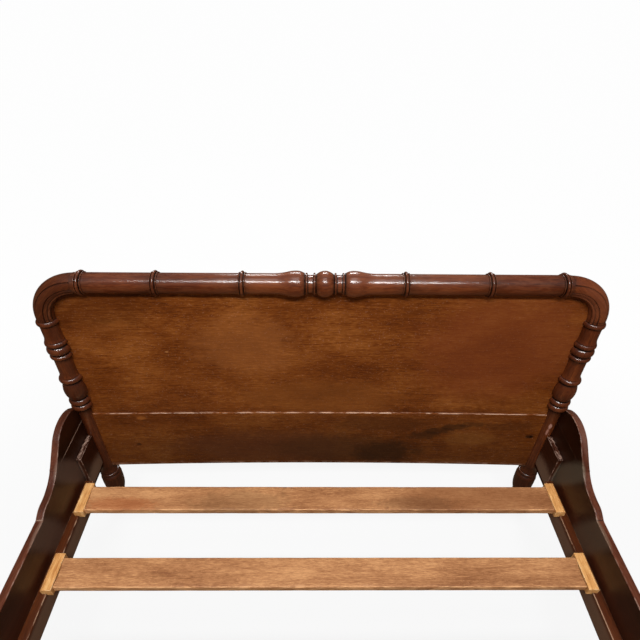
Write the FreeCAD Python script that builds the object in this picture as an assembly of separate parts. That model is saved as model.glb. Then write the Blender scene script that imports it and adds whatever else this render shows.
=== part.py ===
# A double bed in turned wood: a head and a foot frame with board panels, two side rails with scrolled
# ends, and loose slats that lie on ledgers. Millimetres, +X right, +Y to the head, +Z up, and the origin
# on the floor at the middle of the bed.
import FreeCAD, Part
import math
import os

Vector = FreeCAD.Vector
UP = Vector(0, 0, 1)
RIGHT = Vector(1, 0, 0)
TO_HEAD = Vector(0, 1, 0)
CENTRE = Vector(0, 0, 0)

# Whole bed
post_spacing = 1358.0
bed_length = 1990.0

# Clearances
fit_clearance = 0.15
groove_clearance = 0.4
board_edge_clearance = 1.0
hole_end_clearance = 1.0
post_gap = 0.6
kerf_clearance = 0.4
slat_end_gap = 0.5
toe_gap = 1.0
cut_overrun = 8.0
join_tolerance = 0.001

# Foot of a post, down from the side rail's lower edge, and the shaft above it
flare_length = 24.0
collar_width = 6.0
collar_radius = 30.5
foot_ring_width = 10.0
foot_ring_radius = 29.8
neck_radius = 27.0
shoulder_fall = 35.0
bulb_radius = 31.2
bulb_fall = 58.0
taper_radius = 22.3
pad_radius = 17.0
pad_height = 8.0
shaft_radius = 19.8

# Turned knops of a post: rings, a vase and a cushion low down, and at the head rings about a bead higher up
knop_bottom = 499.0
knop_root_radius = 24.6
ring_width = 21.5
ring_radius = 29.7
vase_width = 60.0
vase_radius = 31.3
cushion_width = 28.0
cushion_radius = 31.3
under_ring_width = 18.0
under_ring_radius = 29.0
bead_width = 25.0
bead_radius = 30.6
over_ring_width = 22.0
over_ring_radius = 29.2
knop_run_length = 7.0
segment_radius = 23.9
head_segment_lengths = (46.0, 33.0)
foot_segment_lengths = (32.0,)
corner_ring_width = 18.0
corner_ring_radius = 28.4
swell_bow_share = 0.25

# Elbows between the posts and the top rails
bend_radius = 96.0
elbow_drop = 5.0
elbow_radius = 24.0
quirk_radius = 1.4
quirk_angles = (58.0, 106.0)
reed_radius = 4.4
reed_angle = 138.0

# Top rails, from the middle out: ball, two fine rings with a neck, a vase that runs out, then rings
top_rail_radius = 24.9
ball_half_width = 21.5
ball_radius = 31.5
neck_end_radius = 22.4
fine_ring_width = 6.5
fine_ring_radius = 26.6
fine_ring_gap = 12.5
swell_length = 76.0
swell_start_radius = 25.6
swell_radius = 31.5
swell_place_shares = (0.26, 0.56)
swell_fall_share = 0.55
rail_ring_width = 12.0
rail_ring_radius = 31.0
fillet_ring_width = 3.0
fillet_ring_radius = 26.4
ring_place_shares = (0.329, 0.674)
end_ring_inset = 7.0

# Panels: two boards one above the other, let into the posts, the elbows and the top rail
board_inset = 13.0
upper_board_thickness = 14.0
lower_board_proud = 4.0
board_back = 12.0
panel_joint_height = 466.0
board_arris = 1.2

# Dowels
corner_dowel_radius = 7.0
corner_dowel_length = 56.0
panel_dowel_radius = 3.5
panel_dowel_length = 44.0
panel_dowel_count = 5
scroll_dowel_radius = 4.0
scroll_dowel_length = 44.0

# Side rails with a scroll at each end, measured from the post axis towards the middle of the bed
rail_offset = 12.0
rail_thickness = 19.0
rail_bottom = 225.0
rail_height = 182.0
rail_overrun = 6.0
rail_arris = 2.5
crown_place = 76.0
crown_rise = 118.0
crown_drop = 50.0
scroll_length = 188.0
scroll_crown_share = 0.434
scroll_slope_share = 0.554
step_length = 40.0
step_fall = 15.0
step_crown_share = 0.85
glue_line_rise = 43.0
scroll_dowel_shares = (0.6, 1.4)

# Corner blocks on the rails' inner faces, against the posts
block_thickness = 14.0
block_length = 86.0
block_rise = 33.0
block_height = 131.0
block_arris = 2.0

# Hook plates in the blocks, over pins in the posts
plate_thickness = 3.0
plate_length = 42.0
plate_height = 100.0
plate_corner_radius = 4.0
hook_reach = 7.5
hook_rise = 11.0
hook_drop = 7.0
hook_lift = 16.0
hook_pin_radius = 2.5
hook_pin_setback = 7.3
hook_pin_length = 20.0
hook_pin_recess = 1.2
hook_place_shares = (0.3, 0.72)
rivet_radius = 2.5
rivet_place_share = 0.6
rivet_cover = 3.0

# Ledgers and their screws
ledger_width = 22.0
ledger_height = 63.0
ledger_arris = 2.5
screw_length = 36.0
screw_radius = 2.2
screw_head_radius = 4.5
screw_head_length = 3.5
screw_tip_length = 6.0
screw_tip_radius = 0.6
screw_height_share = 0.5

# Slats and the rebated blocks at their ends
slat_count = 9
slat_first = 175.0
slat_width = 73.0
slat_thickness = 19.0
slat_arris = 2.0
heel_bearing = 11.0
heel_width = 20.0
toe_reach = 13.0
toe_drop = 6.0
toe_lift = 1.0
end_block_length = 96.0
end_block_chamfer = 3.5

# Places that follow from the sizes
post_x = post_spacing / 2
head_y = bed_length / 2
top_rail_half = post_x - bend_radius
upper_board_front = board_back - upper_board_thickness
lower_board_front = upper_board_front - lower_board_proud
rail_inner = post_x + rail_offset
rail_outer = rail_inner + rail_thickness
rail_top = rail_bottom + rail_height
crown_height = rail_top + crown_rise
under_ring = (under_ring_width, under_ring_radius)
over_ring = (over_ring_width, over_ring_radius)
lower_rings = [(ring_width, ring_radius)] * 2
lower_knop = lower_rings + [(vase_width, vase_radius), (cushion_width, cushion_radius)]
upper_knop = [under_ring, (bead_width, bead_radius), over_ring]
knop_reach = max(ring_radius, vase_radius, cushion_radius)
glue_line = rail_top + glue_line_rise
rail_end = head_y + rail_overrun
block_back = head_y - shaft_radius - post_gap
block_front = block_back - block_length
block_inner = rail_inner - block_thickness
block_bottom = rail_bottom + block_rise
ledger_inner = rail_inner - ledger_width
ledger_top = rail_bottom + ledger_height
slat_bottom = ledger_top + toe_lift
slat_top = slat_bottom + slat_thickness
heel_outer = ledger_inner + heel_bearing
heel_inner = heel_outer - heel_width
slat_pitch = (bed_length - 2 * slat_first) / (slat_count - 1)
slat_places = [head_y - slat_first - number * slat_pitch for number in range(slat_count)]
plate_x = (block_inner + rail_inner) / 2
hook_heights = [block_bottom + share * block_height for share in hook_place_shares]


def at_foot(shape):
    """The same piece at the foot of the bed."""
    return shape.mirror(CENTRE, TO_HEAD)


def on_left(shape):
    """The same piece on the left side of the bed."""
    return shape.mirror(CENTRE, RIGHT)


def box(low, high):
    """A block between two corners."""
    size = high - low
    return Part.makeBox(size.x, size.y, size.z, low)


def rod(start, axis, length, radius):
    """A round rod."""
    return Part.makeCylinder(radius, length, start, axis)


def polygon(points):
    """A flat face with straight sides."""
    return Part.Face(Part.makePolygon(points + [points[0]]))


def eased(solid, radius):
    """A long block with its long edges rounded off."""
    half = solid.BoundBox.DiagonalLength / 2
    return solid.makeFillet(radius, [edge for edge in solid.Edges if edge.Length > half])


def turned(stations):
    """A solid turned about Z. A station is a height, a radius and how far the line up to it bows out."""
    height, radius, bow = stations[0]
    start = Vector(0, 0, height)
    last = Vector(radius, 0, height)
    edges = [Part.makeLine(start, last)]
    for height, radius, bow in stations[1:]:
        point = Vector(radius, 0, height)
        if point.isEqual(last, join_tolerance):
            continue
        if bow:
            middle = (last + point) / 2 + Vector(bow, 0, 0)
            edges.append(Part.Arc(last, middle, point).toShape())
        else:
            edges.append(Part.makeLine(last, point))
        last = point
    end = Vector(0, 0, last.z)
    edges.append(Part.makeLine(last, end))
    edges.append(Part.makeLine(end, start))
    return Part.Face(Part.Wire(edges)).revolve(CENTRE, UP, 360)


def plain(height, radius):
    """A straight stretch up to a height."""
    return [(height, radius, 0)]


def bead(bottom, width, root, crown):
    """A round bead that stands on a root radius, with straight sides where it is tall."""
    shoulder = max(root, crown - width / 2)
    rise = [(bottom, root, 0), (bottom, shoulder, 0)]
    return rise + [(bottom + width, shoulder, crown - shoulder), (bottom + width, root, 0)]


def swell(height, radius, from_radius):
    """Half a swelling, level with the axis at its wider end."""
    return [(height, radius, abs(radius - from_radius) * swell_bow_share)]


def hollow(height, radius, from_radius):
    """Half a hollow, level with the axis at its narrower end."""
    return [(height, radius, -abs(radius - from_radius) * swell_bow_share)]


def mirrored(half):
    """The stations of both halves, from those of the upper half."""
    lower = [(-half[-1][0], half[-1][1], 0)]
    for number in range(len(half) - 1, 0, -1):
        height, radius, bow = half[number - 1]
        lower.append((-height, radius, half[number][2]))
    return lower + half[1:]


def knop(bottom, beads):
    """Beads stacked on each other, each a width and a crown radius."""
    stations = []
    for width, crown in beads:
        stations += bead(bottom, width, knop_root_radius, crown)
        bottom += width
    return stations


def knop_and_segment(bottom, beads, length):
    """A knop, the short hollow above it and the plain segment that follows."""
    stations = knop(bottom, beads)
    stations += hollow(stations[-1][0] + knop_run_length, segment_radius, knop_root_radius)
    return stations + plain(stations[-1][0] + length, segment_radius)


def foot_stations():
    """The turned foot of a post, from the floor up to its shaft."""
    collar_top = rail_bottom - flare_length
    collar_bottom = collar_top - collar_width
    ring_bottom = collar_bottom - foot_ring_width
    bulb_height = ring_bottom - shoulder_fall
    stations = plain(0, pad_radius) + plain(pad_height, pad_radius)
    stations += plain(bulb_height - bulb_fall, taper_radius)
    stations += swell(bulb_height, bulb_radius, taper_radius)
    stations += swell(ring_bottom, neck_radius, bulb_radius)
    stations += bead(ring_bottom, foot_ring_width, neck_radius, foot_ring_radius)
    stations += plain(collar_bottom, collar_radius) + plain(collar_top, collar_radius)
    return stations + hollow(rail_bottom, shaft_radius, collar_radius)


def post_blank(segment_lengths):
    """A turned post about Z, with a knop under each plain segment and a ring at its top."""
    stations = foot_stations() + plain(knop_bottom, shaft_radius)
    stations += knop_and_segment(knop_bottom, lower_knop, segment_lengths[0])
    for length in segment_lengths[1:]:
        bottom = stations[-1][0] + knop_run_length
        stations += hollow(bottom, knop_root_radius, segment_radius)
        stations += knop_and_segment(bottom, upper_knop, length)
    stations += bead(stations[-1][0], corner_ring_width, segment_radius, corner_ring_radius)
    return turned(stations), stations[-1][0]


def rail_ring(middle):
    """A ring of a top rail: a bead between two fillets."""
    start = middle - rail_ring_width / 2 - fillet_ring_width
    end = middle + rail_ring_width / 2 + fillet_ring_width
    stations = plain(start, top_rail_radius) + plain(start, fillet_ring_radius)
    stations += bead(start + fillet_ring_width, rail_ring_width, fillet_ring_radius, rail_ring_radius)
    return stations + plain(end, fillet_ring_radius) + plain(end, top_rail_radius)


def top_rail_blank():
    """A turned top rail about Z, with its middle at the origin."""
    first_ring = ball_half_width
    second_ring = first_ring + fine_ring_width + fine_ring_gap
    swell_start = second_ring + fine_ring_width
    crest, turn = [swell_start + share * swell_length for share in swell_place_shares]
    turn_radius = top_rail_radius + swell_fall_share * (swell_radius - top_rail_radius)
    half = plain(0, ball_radius)
    half += swell(ball_half_width, neck_end_radius, ball_radius)
    half += bead(first_ring, fine_ring_width, neck_end_radius, fine_ring_radius)
    half += bead(second_ring, fine_ring_width, neck_end_radius, fine_ring_radius)
    half += plain(swell_start, swell_start_radius)
    half += swell(crest, swell_radius, swell_start_radius)
    half += swell(turn, turn_radius, swell_radius)
    half += hollow(swell_start + swell_length, top_rail_radius, turn_radius)
    for share in ring_place_shares:
        half += rail_ring(share * top_rail_half)
    half += rail_ring(top_rail_half - end_ring_inset - rail_ring_width / 2 - fillet_ring_width)
    return turned(mirrored(half + plain(top_rail_half, top_rail_radius)))


def top_rail(height):
    """A top rail in its place at the head, with its axis at a height."""
    rail = top_rail_blank()
    rail.rotate(CENTRE, TO_HEAD, 90)
    rail.translate(Vector(0, head_y, height))
    return rail


def elbow_section(height):
    """The moulded section of an elbow, upright at the end of the top rail."""
    middle = Vector(top_rail_half, head_y, height)

    def disc(radius, angle, reach):
        spot = middle + UP * (reach * math.cos(angle)) + TO_HEAD * (reach * math.sin(angle))
        return Part.Face(Part.Wire(Part.makeCircle(radius, spot, RIGHT)))

    section = disc(elbow_radius, 0, 0)
    reed_reach = elbow_radius - reed_radius / 2
    for side in (-1, 1):
        section = section.fuse(disc(reed_radius, side * math.radians(reed_angle), reed_reach))
        for angle in quirk_angles:
            section = section.cut(disc(quirk_radius, side * math.radians(angle), elbow_radius))
    return section.removeSplitter().Faces[0]


def elbow(height):
    """The right elbow at the head: a quarter bend and a short straight drop onto the post."""
    section = elbow_section(height)
    bend_centre = Vector(top_rail_half, head_y, height - bend_radius)
    bend = section.revolve(bend_centre, TO_HEAD, 90)
    section.rotate(bend_centre, TO_HEAD, 90)
    return bend.fuse(section.extrude(UP * -elbow_drop)).removeSplitter()


def board(bottom, top, front, rounded, edge_room=0, side_room=0):
    """A panel board at the head, or with room at its edges and sides the groove that takes it."""
    half = post_x - board_inset + edge_room
    level = head_y + front - side_room
    low_left = Vector(-half, level, bottom)
    low_right = Vector(half, level, bottom)
    if rounded:
        radius = bend_radius - board_inset + edge_room
        crest = top + edge_room
        inset = radius * (1 - math.sqrt(1 / 2))
        right_side = Vector(half, level, crest - radius)
        right_crest = Vector(half - radius, level, crest)
        left_crest = Vector(radius - half, level, crest)
        left_side = Vector(-half, level, crest - radius)
        right_corner = Part.Arc(right_side, Vector(half - inset, level, crest - inset), right_crest)
        left_corner = Part.Arc(left_crest, Vector(inset - half, level, crest - inset), left_side)
        edges = [Part.makeLine(low_left, low_right), Part.makeLine(low_right, right_side)]
        edges += [right_corner.toShape(), Part.makeLine(right_crest, left_crest)]
        edges += [left_corner.toShape(), Part.makeLine(left_side, low_left)]
        face = Part.Face(Part.Wire(edges))
    else:
        face = polygon([low_left, low_right, Vector(half, level, top), Vector(-half, level, top)])
    return face.extrude(TO_HEAD * (board_back - front + 2 * side_room))


def panel_groove(axis_height):
    """The space that the two boards of a panel take up in the frame round them."""
    room = (board_edge_clearance, groove_clearance)
    upper = board(panel_joint_height, axis_height - board_inset, upper_board_front, True, *room)
    lower = board(rail_bottom, panel_joint_height, lower_board_front, False, *room)
    return upper.fuse(lower)


def panel_dowels(room=0):
    """The dowels across the joint of a panel, or with room their holes."""
    half = post_x - board_inset
    middle = head_y + (upper_board_front + board_back) / 2
    length = panel_dowel_length + 2 * room * hole_end_clearance
    rods = []
    for number in range(panel_dowel_count):
        x = half * (2 * (number + 1) / (panel_dowel_count + 1) - 1)
        start = Vector(x, middle, panel_joint_height - length / 2)
        rods.append(rod(start, UP, length, panel_dowel_radius + room * fit_clearance))
    return Part.makeCompound(rods)


def corner_dowels(axis_height, post_top, room=0):
    """The dowels of the right elbow: one into the top rail and one into the post."""
    length = corner_dowel_length + 2 * room * hole_end_clearance
    radius = corner_dowel_radius + room * fit_clearance
    across = rod(Vector(top_rail_half - length / 2, head_y, axis_height), RIGHT, length, radius)
    upright = rod(Vector(post_x, head_y, post_top - length / 2), UP, length, radius)
    return Part.makeCompound([across, upright])


def hook_slot():
    """The slot in the right head post that the hooks drop into."""
    half = plate_thickness / 2 + kerf_clearance
    depth = shaft_radius - hook_pin_setback
    bottom = hook_heights[0] - hook_drop - cut_overrun
    top = hook_heights[-1] + hook_rise + hook_lift
    low = Vector(plate_x - half, head_y - shaft_radius - cut_overrun, bottom)
    return box(low, Vector(plate_x + half, head_y - depth + hook_reach, top))


def hook_pins(room=0):
    """The pins in the right head post that the hooks hang on, or with room their drilled holes."""
    middle = head_y - shaft_radius + hook_pin_setback
    reach = math.sqrt(shaft_radius ** 2 - (shaft_radius - hook_pin_setback) ** 2)
    outer = post_x + reach - hook_pin_recess
    length = hook_pin_length + room * (hook_pin_recess + cut_overrun)
    rods = []
    for height in hook_heights:
        start = Vector(outer - hook_pin_length, middle, height)
        rods.append(rod(start, RIGHT, length, hook_pin_radius + room * fit_clearance))
    return Part.makeCompound(rods)


def end_frame(segment_lengths):
    """The pieces of an end frame, named and modelled at the head."""
    post, post_top = post_blank(segment_lengths)
    axis_height = post_top + elbow_drop + bend_radius
    groove = panel_groove(axis_height)
    dowels = corner_dowels(axis_height, post_top)
    dowel_holes = corner_dowels(axis_height, post_top, 1)
    panel_holes = panel_dowels(1)
    post.translate(Vector(post_x, head_y, 0))
    post = post.cut([groove, hook_slot(), hook_pins(1), dowel_holes])
    bend = elbow(axis_height).cut([groove, dowel_holes])
    rail = top_rail(axis_height).cut([groove, dowel_holes, on_left(dowel_holes)])
    upper = board(panel_joint_height, axis_height - board_inset, upper_board_front, True)
    lower = board(rail_bottom, panel_joint_height, lower_board_front, False)
    return {
        "right_post": post,
        "left_post": on_left(post),
        "right_elbow": bend,
        "left_elbow": on_left(bend),
        "top_rail": rail,
        "upper_board": upper.cut(panel_holes),
        "lower_board": eased(lower, board_arris).cut(panel_holes),
        "corner_dowels": Part.makeCompound(dowels.Solids + on_left(dowels).Solids),
        "panel_dowels": panel_dowels(),
    }


def level_arc(level, end):
    """An arc along a side rail that is level at one point and ends at another."""
    across = end.y - level.y
    angle = 2 * math.atan2(level.z - end.z, abs(across))
    radius = abs(across) / math.sin(angle)
    run = math.copysign(radius * math.sin(angle / 2), across)
    middle = level + Vector(0, run, -radius * (1 - math.cos(angle / 2)))
    return Part.Arc(level, middle, end).toShape()


def ogee(start, length, fall, crown_share):
    """A crown, a slope and a hollow that lead down from level to level, and the point where they end."""
    angle = (1 + scroll_slope_share) * math.atan2(fall, length)
    radii = (length * math.sin(angle) - fall * math.cos(angle)) / (1 - math.cos(angle))
    crown = crown_share * radii
    hollow = radii - crown
    end = start + Vector(0, -length, -fall)
    slope_top = start + Vector(0, -crown * math.sin(angle), -crown * (1 - math.cos(angle)))
    slope_foot = end + Vector(0, hollow * math.sin(angle), hollow * (1 - math.cos(angle)))
    slope = Part.makeLine(slope_top, slope_foot)
    return [level_arc(start, slope_top), slope, level_arc(end, slope_foot)], end


def rail_blank():
    """The right side rail with both scrolls, before the scrolls are parted along their glue lines."""
    corner = Vector(rail_inner, rail_end, rail_bottom)
    shoulder = Vector(rail_inner, rail_end, crown_height - crown_drop)
    crown = Vector(rail_inner, head_y - crown_place, crown_height)
    fall, ledge = ogee(crown, scroll_length, crown_rise - step_fall, scroll_crown_share)
    step, level = ogee(ledge, step_length, step_fall, step_crown_share)
    half = [Part.makeLine(corner, shoulder), level_arc(crown, shoulder)] + fall + step
    edges = half + [at_foot(edge) for edge in half]
    edges.append(Part.makeLine(level, Vector(level.x, -level.y, level.z)))
    edges.append(Part.makeLine(corner, Vector(corner.x, -corner.y, corner.z)))
    outline = Part.Wire(Part.__sortEdges__(edges))
    solid = Part.Face(outline).extrude(RIGHT * rail_thickness)
    middle = (rail_bottom + rail_top) / 2
    upper = [edge for edge in solid.Edges if edge.BoundBox.ZMin > middle]
    rims = [edge for edge in upper if edge.BoundBox.XLength < rail_thickness / 2]
    solid = solid.makeFillet(rail_arris, rims)
    cope = rod(Vector(post_x, head_y, 0), UP, crown_height, shaft_radius + post_gap)
    knop_cope = rod(Vector(post_x, head_y, knop_bottom - post_gap), UP, crown_height, knop_reach + post_gap)
    return solid.cut([cope, at_foot(cope), knop_cope, at_foot(knop_cope)])


def scroll_dowels(room=0):
    """The dowels under the right scroll at the head, or with room their holes."""
    length = scroll_dowel_length + 2 * room * hole_end_clearance
    middle = (rail_inner + rail_outer) / 2
    rods = []
    for share in scroll_dowel_shares:
        start = Vector(middle, head_y - share * crown_place, glue_line - length / 2)
        rods.append(rod(start, UP, length, scroll_dowel_radius + room * fit_clearance))
    return Part.makeCompound(rods)


def screw(room=0):
    """A countersunk screw that points up from the origin, or with room its hole."""
    head = screw_head_radius + room * fit_clearance
    shank = screw_radius + room * fit_clearance
    length = screw_length + room * hole_end_clearance
    stations = plain(0, head) + plain(screw_head_length, shank)
    stations += plain(length - screw_tip_length, shank) + plain(length, screw_tip_radius)
    return turned(stations)


def ledger_screws(room=0):
    """The screws from the right ledger into the rail, one under each slat, or with room the holes."""
    screws = []
    for place in slat_places:
        piece = screw(room)
        piece.rotate(CENTRE, TO_HEAD, 90)
        piece.translate(Vector(ledger_inner, place, rail_bottom + screw_height_share * ledger_height))
        screws.append(piece)
    return Part.makeCompound(screws)


def ledger():
    """The right ledger, between the corner blocks."""
    bar = box(Vector(ledger_inner, -block_front, rail_bottom), Vector(rail_inner, block_front, ledger_top))
    middle = (ledger_inner + rail_inner) / 2
    inner = [edge for edge in bar.Edges if edge.Length > block_front and edge.BoundBox.XMax < middle]
    return bar.makeFillet(ledger_arris, inner).cut(ledger_screws(1))


def hook_rivets(room=0):
    """The rivets through the right head hook plate, driven in from behind the corner block."""
    start_x = block_inner + rivet_cover - room * hole_end_clearance
    rods = []
    for height in hook_heights:
        start = Vector(start_x, block_back - rivet_place_share * plate_length, height)
        rods.append(rod(start, RIGHT, rail_inner - start_x, rivet_radius + room * fit_clearance))
    return Part.makeCompound(rods)


def plate_space(room=0):
    """The plate without its hooks, or with room the kerf in the block that takes it."""
    half = plate_thickness / 2 + room * kerf_clearance
    middle = block_bottom + block_height / 2
    rise = plate_height / 2 + room * kerf_clearance
    low = Vector(plate_x - half, block_back - plate_length - room * hole_end_clearance, middle - rise)
    high = Vector(plate_x + half, block_back + room * cut_overrun, middle + rise)
    return box(low, high)


def hook_plate():
    """The right head hook plate, with two hooks that hang on the pins of the post."""
    plate = plate_space()
    middle = block_back - plate_length / 2
    front = [edge for edge in plate.Edges if edge.BoundBox.YMax < middle]
    corners = [edge for edge in front if edge.BoundBox.XLength > plate_thickness / 2]
    plate = plate.makeFillet(plate_corner_radius, corners)
    pin_y = head_y - shaft_radius + hook_pin_setback
    notch_radius = hook_pin_radius + fit_clearance
    half = Vector(plate_thickness / 2, 0, 0)
    for height in hook_heights:
        pin = Vector(plate_x, pin_y, height)
        low = Vector(plate_x, block_back, height - hook_drop) - half
        high = Vector(plate_x, pin_y + hook_reach - hole_end_clearance, height + hook_rise) + half
        notch = rod(pin - half - half, RIGHT, plate_thickness + plate_thickness, notch_radius)
        throat_low = pin - half - half - Vector(0, notch_radius, hook_drop + cut_overrun)
        throat = box(throat_low, pin + half + half + Vector(0, notch_radius, 0))
        plate = plate.fuse(box(low, high).cut([notch, throat]))
    return plate.removeSplitter().cut(hook_rivets(1))


def corner_block():
    """The right head corner block, with the kerf and the holes for its hook plate."""
    low = Vector(block_inner, block_front, block_bottom)
    block = box(low, Vector(rail_inner, block_back, block_bottom + block_height))
    middle = block_back - block_length / 2
    inner = [edge for edge in block.Edges if edge.BoundBox.XMax < plate_x]
    arrises = [edge for edge in inner if edge.BoundBox.YMin < middle]
    return block.makeFillet(block_arris, arrises).cut([plate_space(1), hook_rivets(1)])


def slat_board(place):
    """The board of a slat, between its end blocks."""
    half_length = heel_inner - slat_end_gap
    low = Vector(-half_length, place - slat_width / 2, slat_bottom)
    return eased(box(low, Vector(half_length, place + slat_width / 2, slat_top)), slat_arris)


def end_blocks(place):
    """The two rebated blocks of a slat: the heel lies on the ledger and the toe carries the board."""
    start = place - end_block_length / 2
    toe_end = heel_inner - toe_reach
    toe_root = ledger_inner - toe_gap
    toe_bottom = ledger_top - toe_drop
    section = [(heel_outer, ledger_top), (heel_outer, slat_top - end_block_chamfer)]
    section += [(heel_outer - end_block_chamfer, slat_top), (heel_inner, slat_top)]
    section += [(heel_inner, slat_bottom), (toe_end, slat_bottom), (toe_end, toe_bottom)]
    section += [(toe_root, toe_bottom), (toe_root, ledger_top)]
    face = polygon([Vector(x, start, height) for x, height in section])
    block = face.extrude(TO_HEAD * end_block_length)
    return Part.makeCompound([block, on_left(block)])


def all_corners(group):
    """A group of solids at the right of the head, and the same at the other three corners."""
    head = group.Solids + on_left(group).Solids
    return Part.makeCompound(head + [at_foot(solid) for solid in head])


def side_rail_pieces():
    """The right side rail and its scroll at the head."""
    blank = rail_blank()
    low = Vector(rail_inner - cut_overrun, 0, glue_line)
    above = box(low, Vector(rail_outer + cut_overrun, rail_end + cut_overrun, crown_height + cut_overrun))
    holes = scroll_dowels(1)
    rail = blank.cut([above, at_foot(above), holes, at_foot(holes), ledger_screws(1)])
    return rail, blank.common(above).cut(holes)


def bed():
    """Every piece of the bed, by its name."""
    pieces = {}
    for name, shape in end_frame(head_segment_lengths).items():
        pieces["head_" + name] = shape
    for name, shape in end_frame(foot_segment_lengths).items():
        pieces["foot_" + name] = at_foot(shape)
    rail, scroll = side_rail_pieces()
    along = {"side_rail": rail, "ledger": ledger(), "ledger_screws": ledger_screws()}
    for name, shape in along.items():
        pieces["right_" + name] = shape
        pieces["left_" + name] = on_left(shape)
    at_corner = {"scroll": scroll, "corner_block": corner_block(), "hook_plate": hook_plate()}
    for name, shape in at_corner.items():
        pieces["head_right_" + name] = shape
        pieces["head_left_" + name] = on_left(shape)
        pieces["foot_right_" + name] = at_foot(shape)
        pieces["foot_left_" + name] = at_foot(on_left(shape))
    pieces["scroll_dowels"] = all_corners(scroll_dowels())
    pieces["hook_pins"] = all_corners(hook_pins())
    pieces["hook_rivets"] = all_corners(hook_rivets())
    for number, place in enumerate(slat_places, 1):
        pieces[f"slat_{number}_board"] = slat_board(place)
        pieces[f"slat_{number}_end_blocks"] = end_blocks(place)
    return pieces


os.makedirs("parts", exist_ok=True)
for name, shape in bed().items():
    shape.exportStep(f"parts/{name}.step")
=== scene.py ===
"""The looks of a turned wooden double bed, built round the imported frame.

Each sub-assembly is a class that holds its sizes in millimetres, builds its meshes and dresses them.
+X is to the right seen from the foot, +Y to the head and +Z up. The origin is on the floor under the
middle of the bed.
"""
import logging
import math
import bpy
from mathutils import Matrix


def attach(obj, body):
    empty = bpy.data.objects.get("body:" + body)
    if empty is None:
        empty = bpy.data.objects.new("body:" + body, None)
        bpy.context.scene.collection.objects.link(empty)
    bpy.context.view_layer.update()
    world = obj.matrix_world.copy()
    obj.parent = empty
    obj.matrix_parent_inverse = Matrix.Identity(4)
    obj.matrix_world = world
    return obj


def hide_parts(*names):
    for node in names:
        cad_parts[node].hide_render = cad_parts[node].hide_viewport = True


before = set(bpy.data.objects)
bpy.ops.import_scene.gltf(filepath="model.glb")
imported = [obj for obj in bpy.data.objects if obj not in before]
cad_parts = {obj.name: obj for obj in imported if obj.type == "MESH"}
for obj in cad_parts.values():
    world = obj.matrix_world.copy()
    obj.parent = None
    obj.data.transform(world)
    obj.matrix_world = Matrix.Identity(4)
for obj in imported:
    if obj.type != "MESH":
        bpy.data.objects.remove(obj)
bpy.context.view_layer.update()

import zlib
from dataclasses import dataclass, field
from enum import Enum
from typing import Optional, Sequence, Union

import bpy
import numpy as np
from mathutils import Matrix, Vector

LOG = logging.getLogger("turned_bed")
MM = 0.001
Pair = tuple[float, float]
Triple = tuple[float, float, float]
Four = tuple[float, float, float, float]


class End(Enum):
    """An end of the bed, and the sign of its Y."""

    HEAD = 1
    FOOT = -1


class Side(Enum):
    """A side of the bed seen from the foot, and the sign of its X."""

    RIGHT = 1
    LEFT = -1


class Along(Enum):
    """The axis that a piece's grain runs along, and the order of axes along, across and through the grain."""

    X = (0, 2, 1)
    Y = (1, 2, 0)
    Z = (2, 0, 1)


class Slot(Enum):
    """The material slots of the bed."""

    TURNED = "turned_mahogany"
    PANEL = "panel_mahogany"
    RAIL = "rail_mahogany"
    LEDGER = "ledger_wood"
    SLAT = "slat_pine"
    BLOCK = "block_pine"
    DOWEL = "dowel_beech"
    HOOK = "hook_steel"
    SCREW = "screw_steel"


@dataclass(frozen=True)
class Colour:
    """A colour as a screen shows it, each part from 0 to 255."""

    red: float
    green: float
    blue: float

    def linear(self) -> Four:
        """Works out the colour in linear values.

        Returns:
            Its red, green and blue, and full opacity.
        """
        parts = (self.red / 255, self.green / 255, self.blue / 255)
        red, green, blue = (p / 12.92 if p < 0.04045 else ((p + 0.055) / 1.055) ** 2.4 for p in parts)
        return red, green, blue, 1.0


Socket = bpy.types.NodeSocket
Feed = Union[float, Sequence[float], Socket]
ORIGIN = (0.0, 0.0, 0.0)


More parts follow.
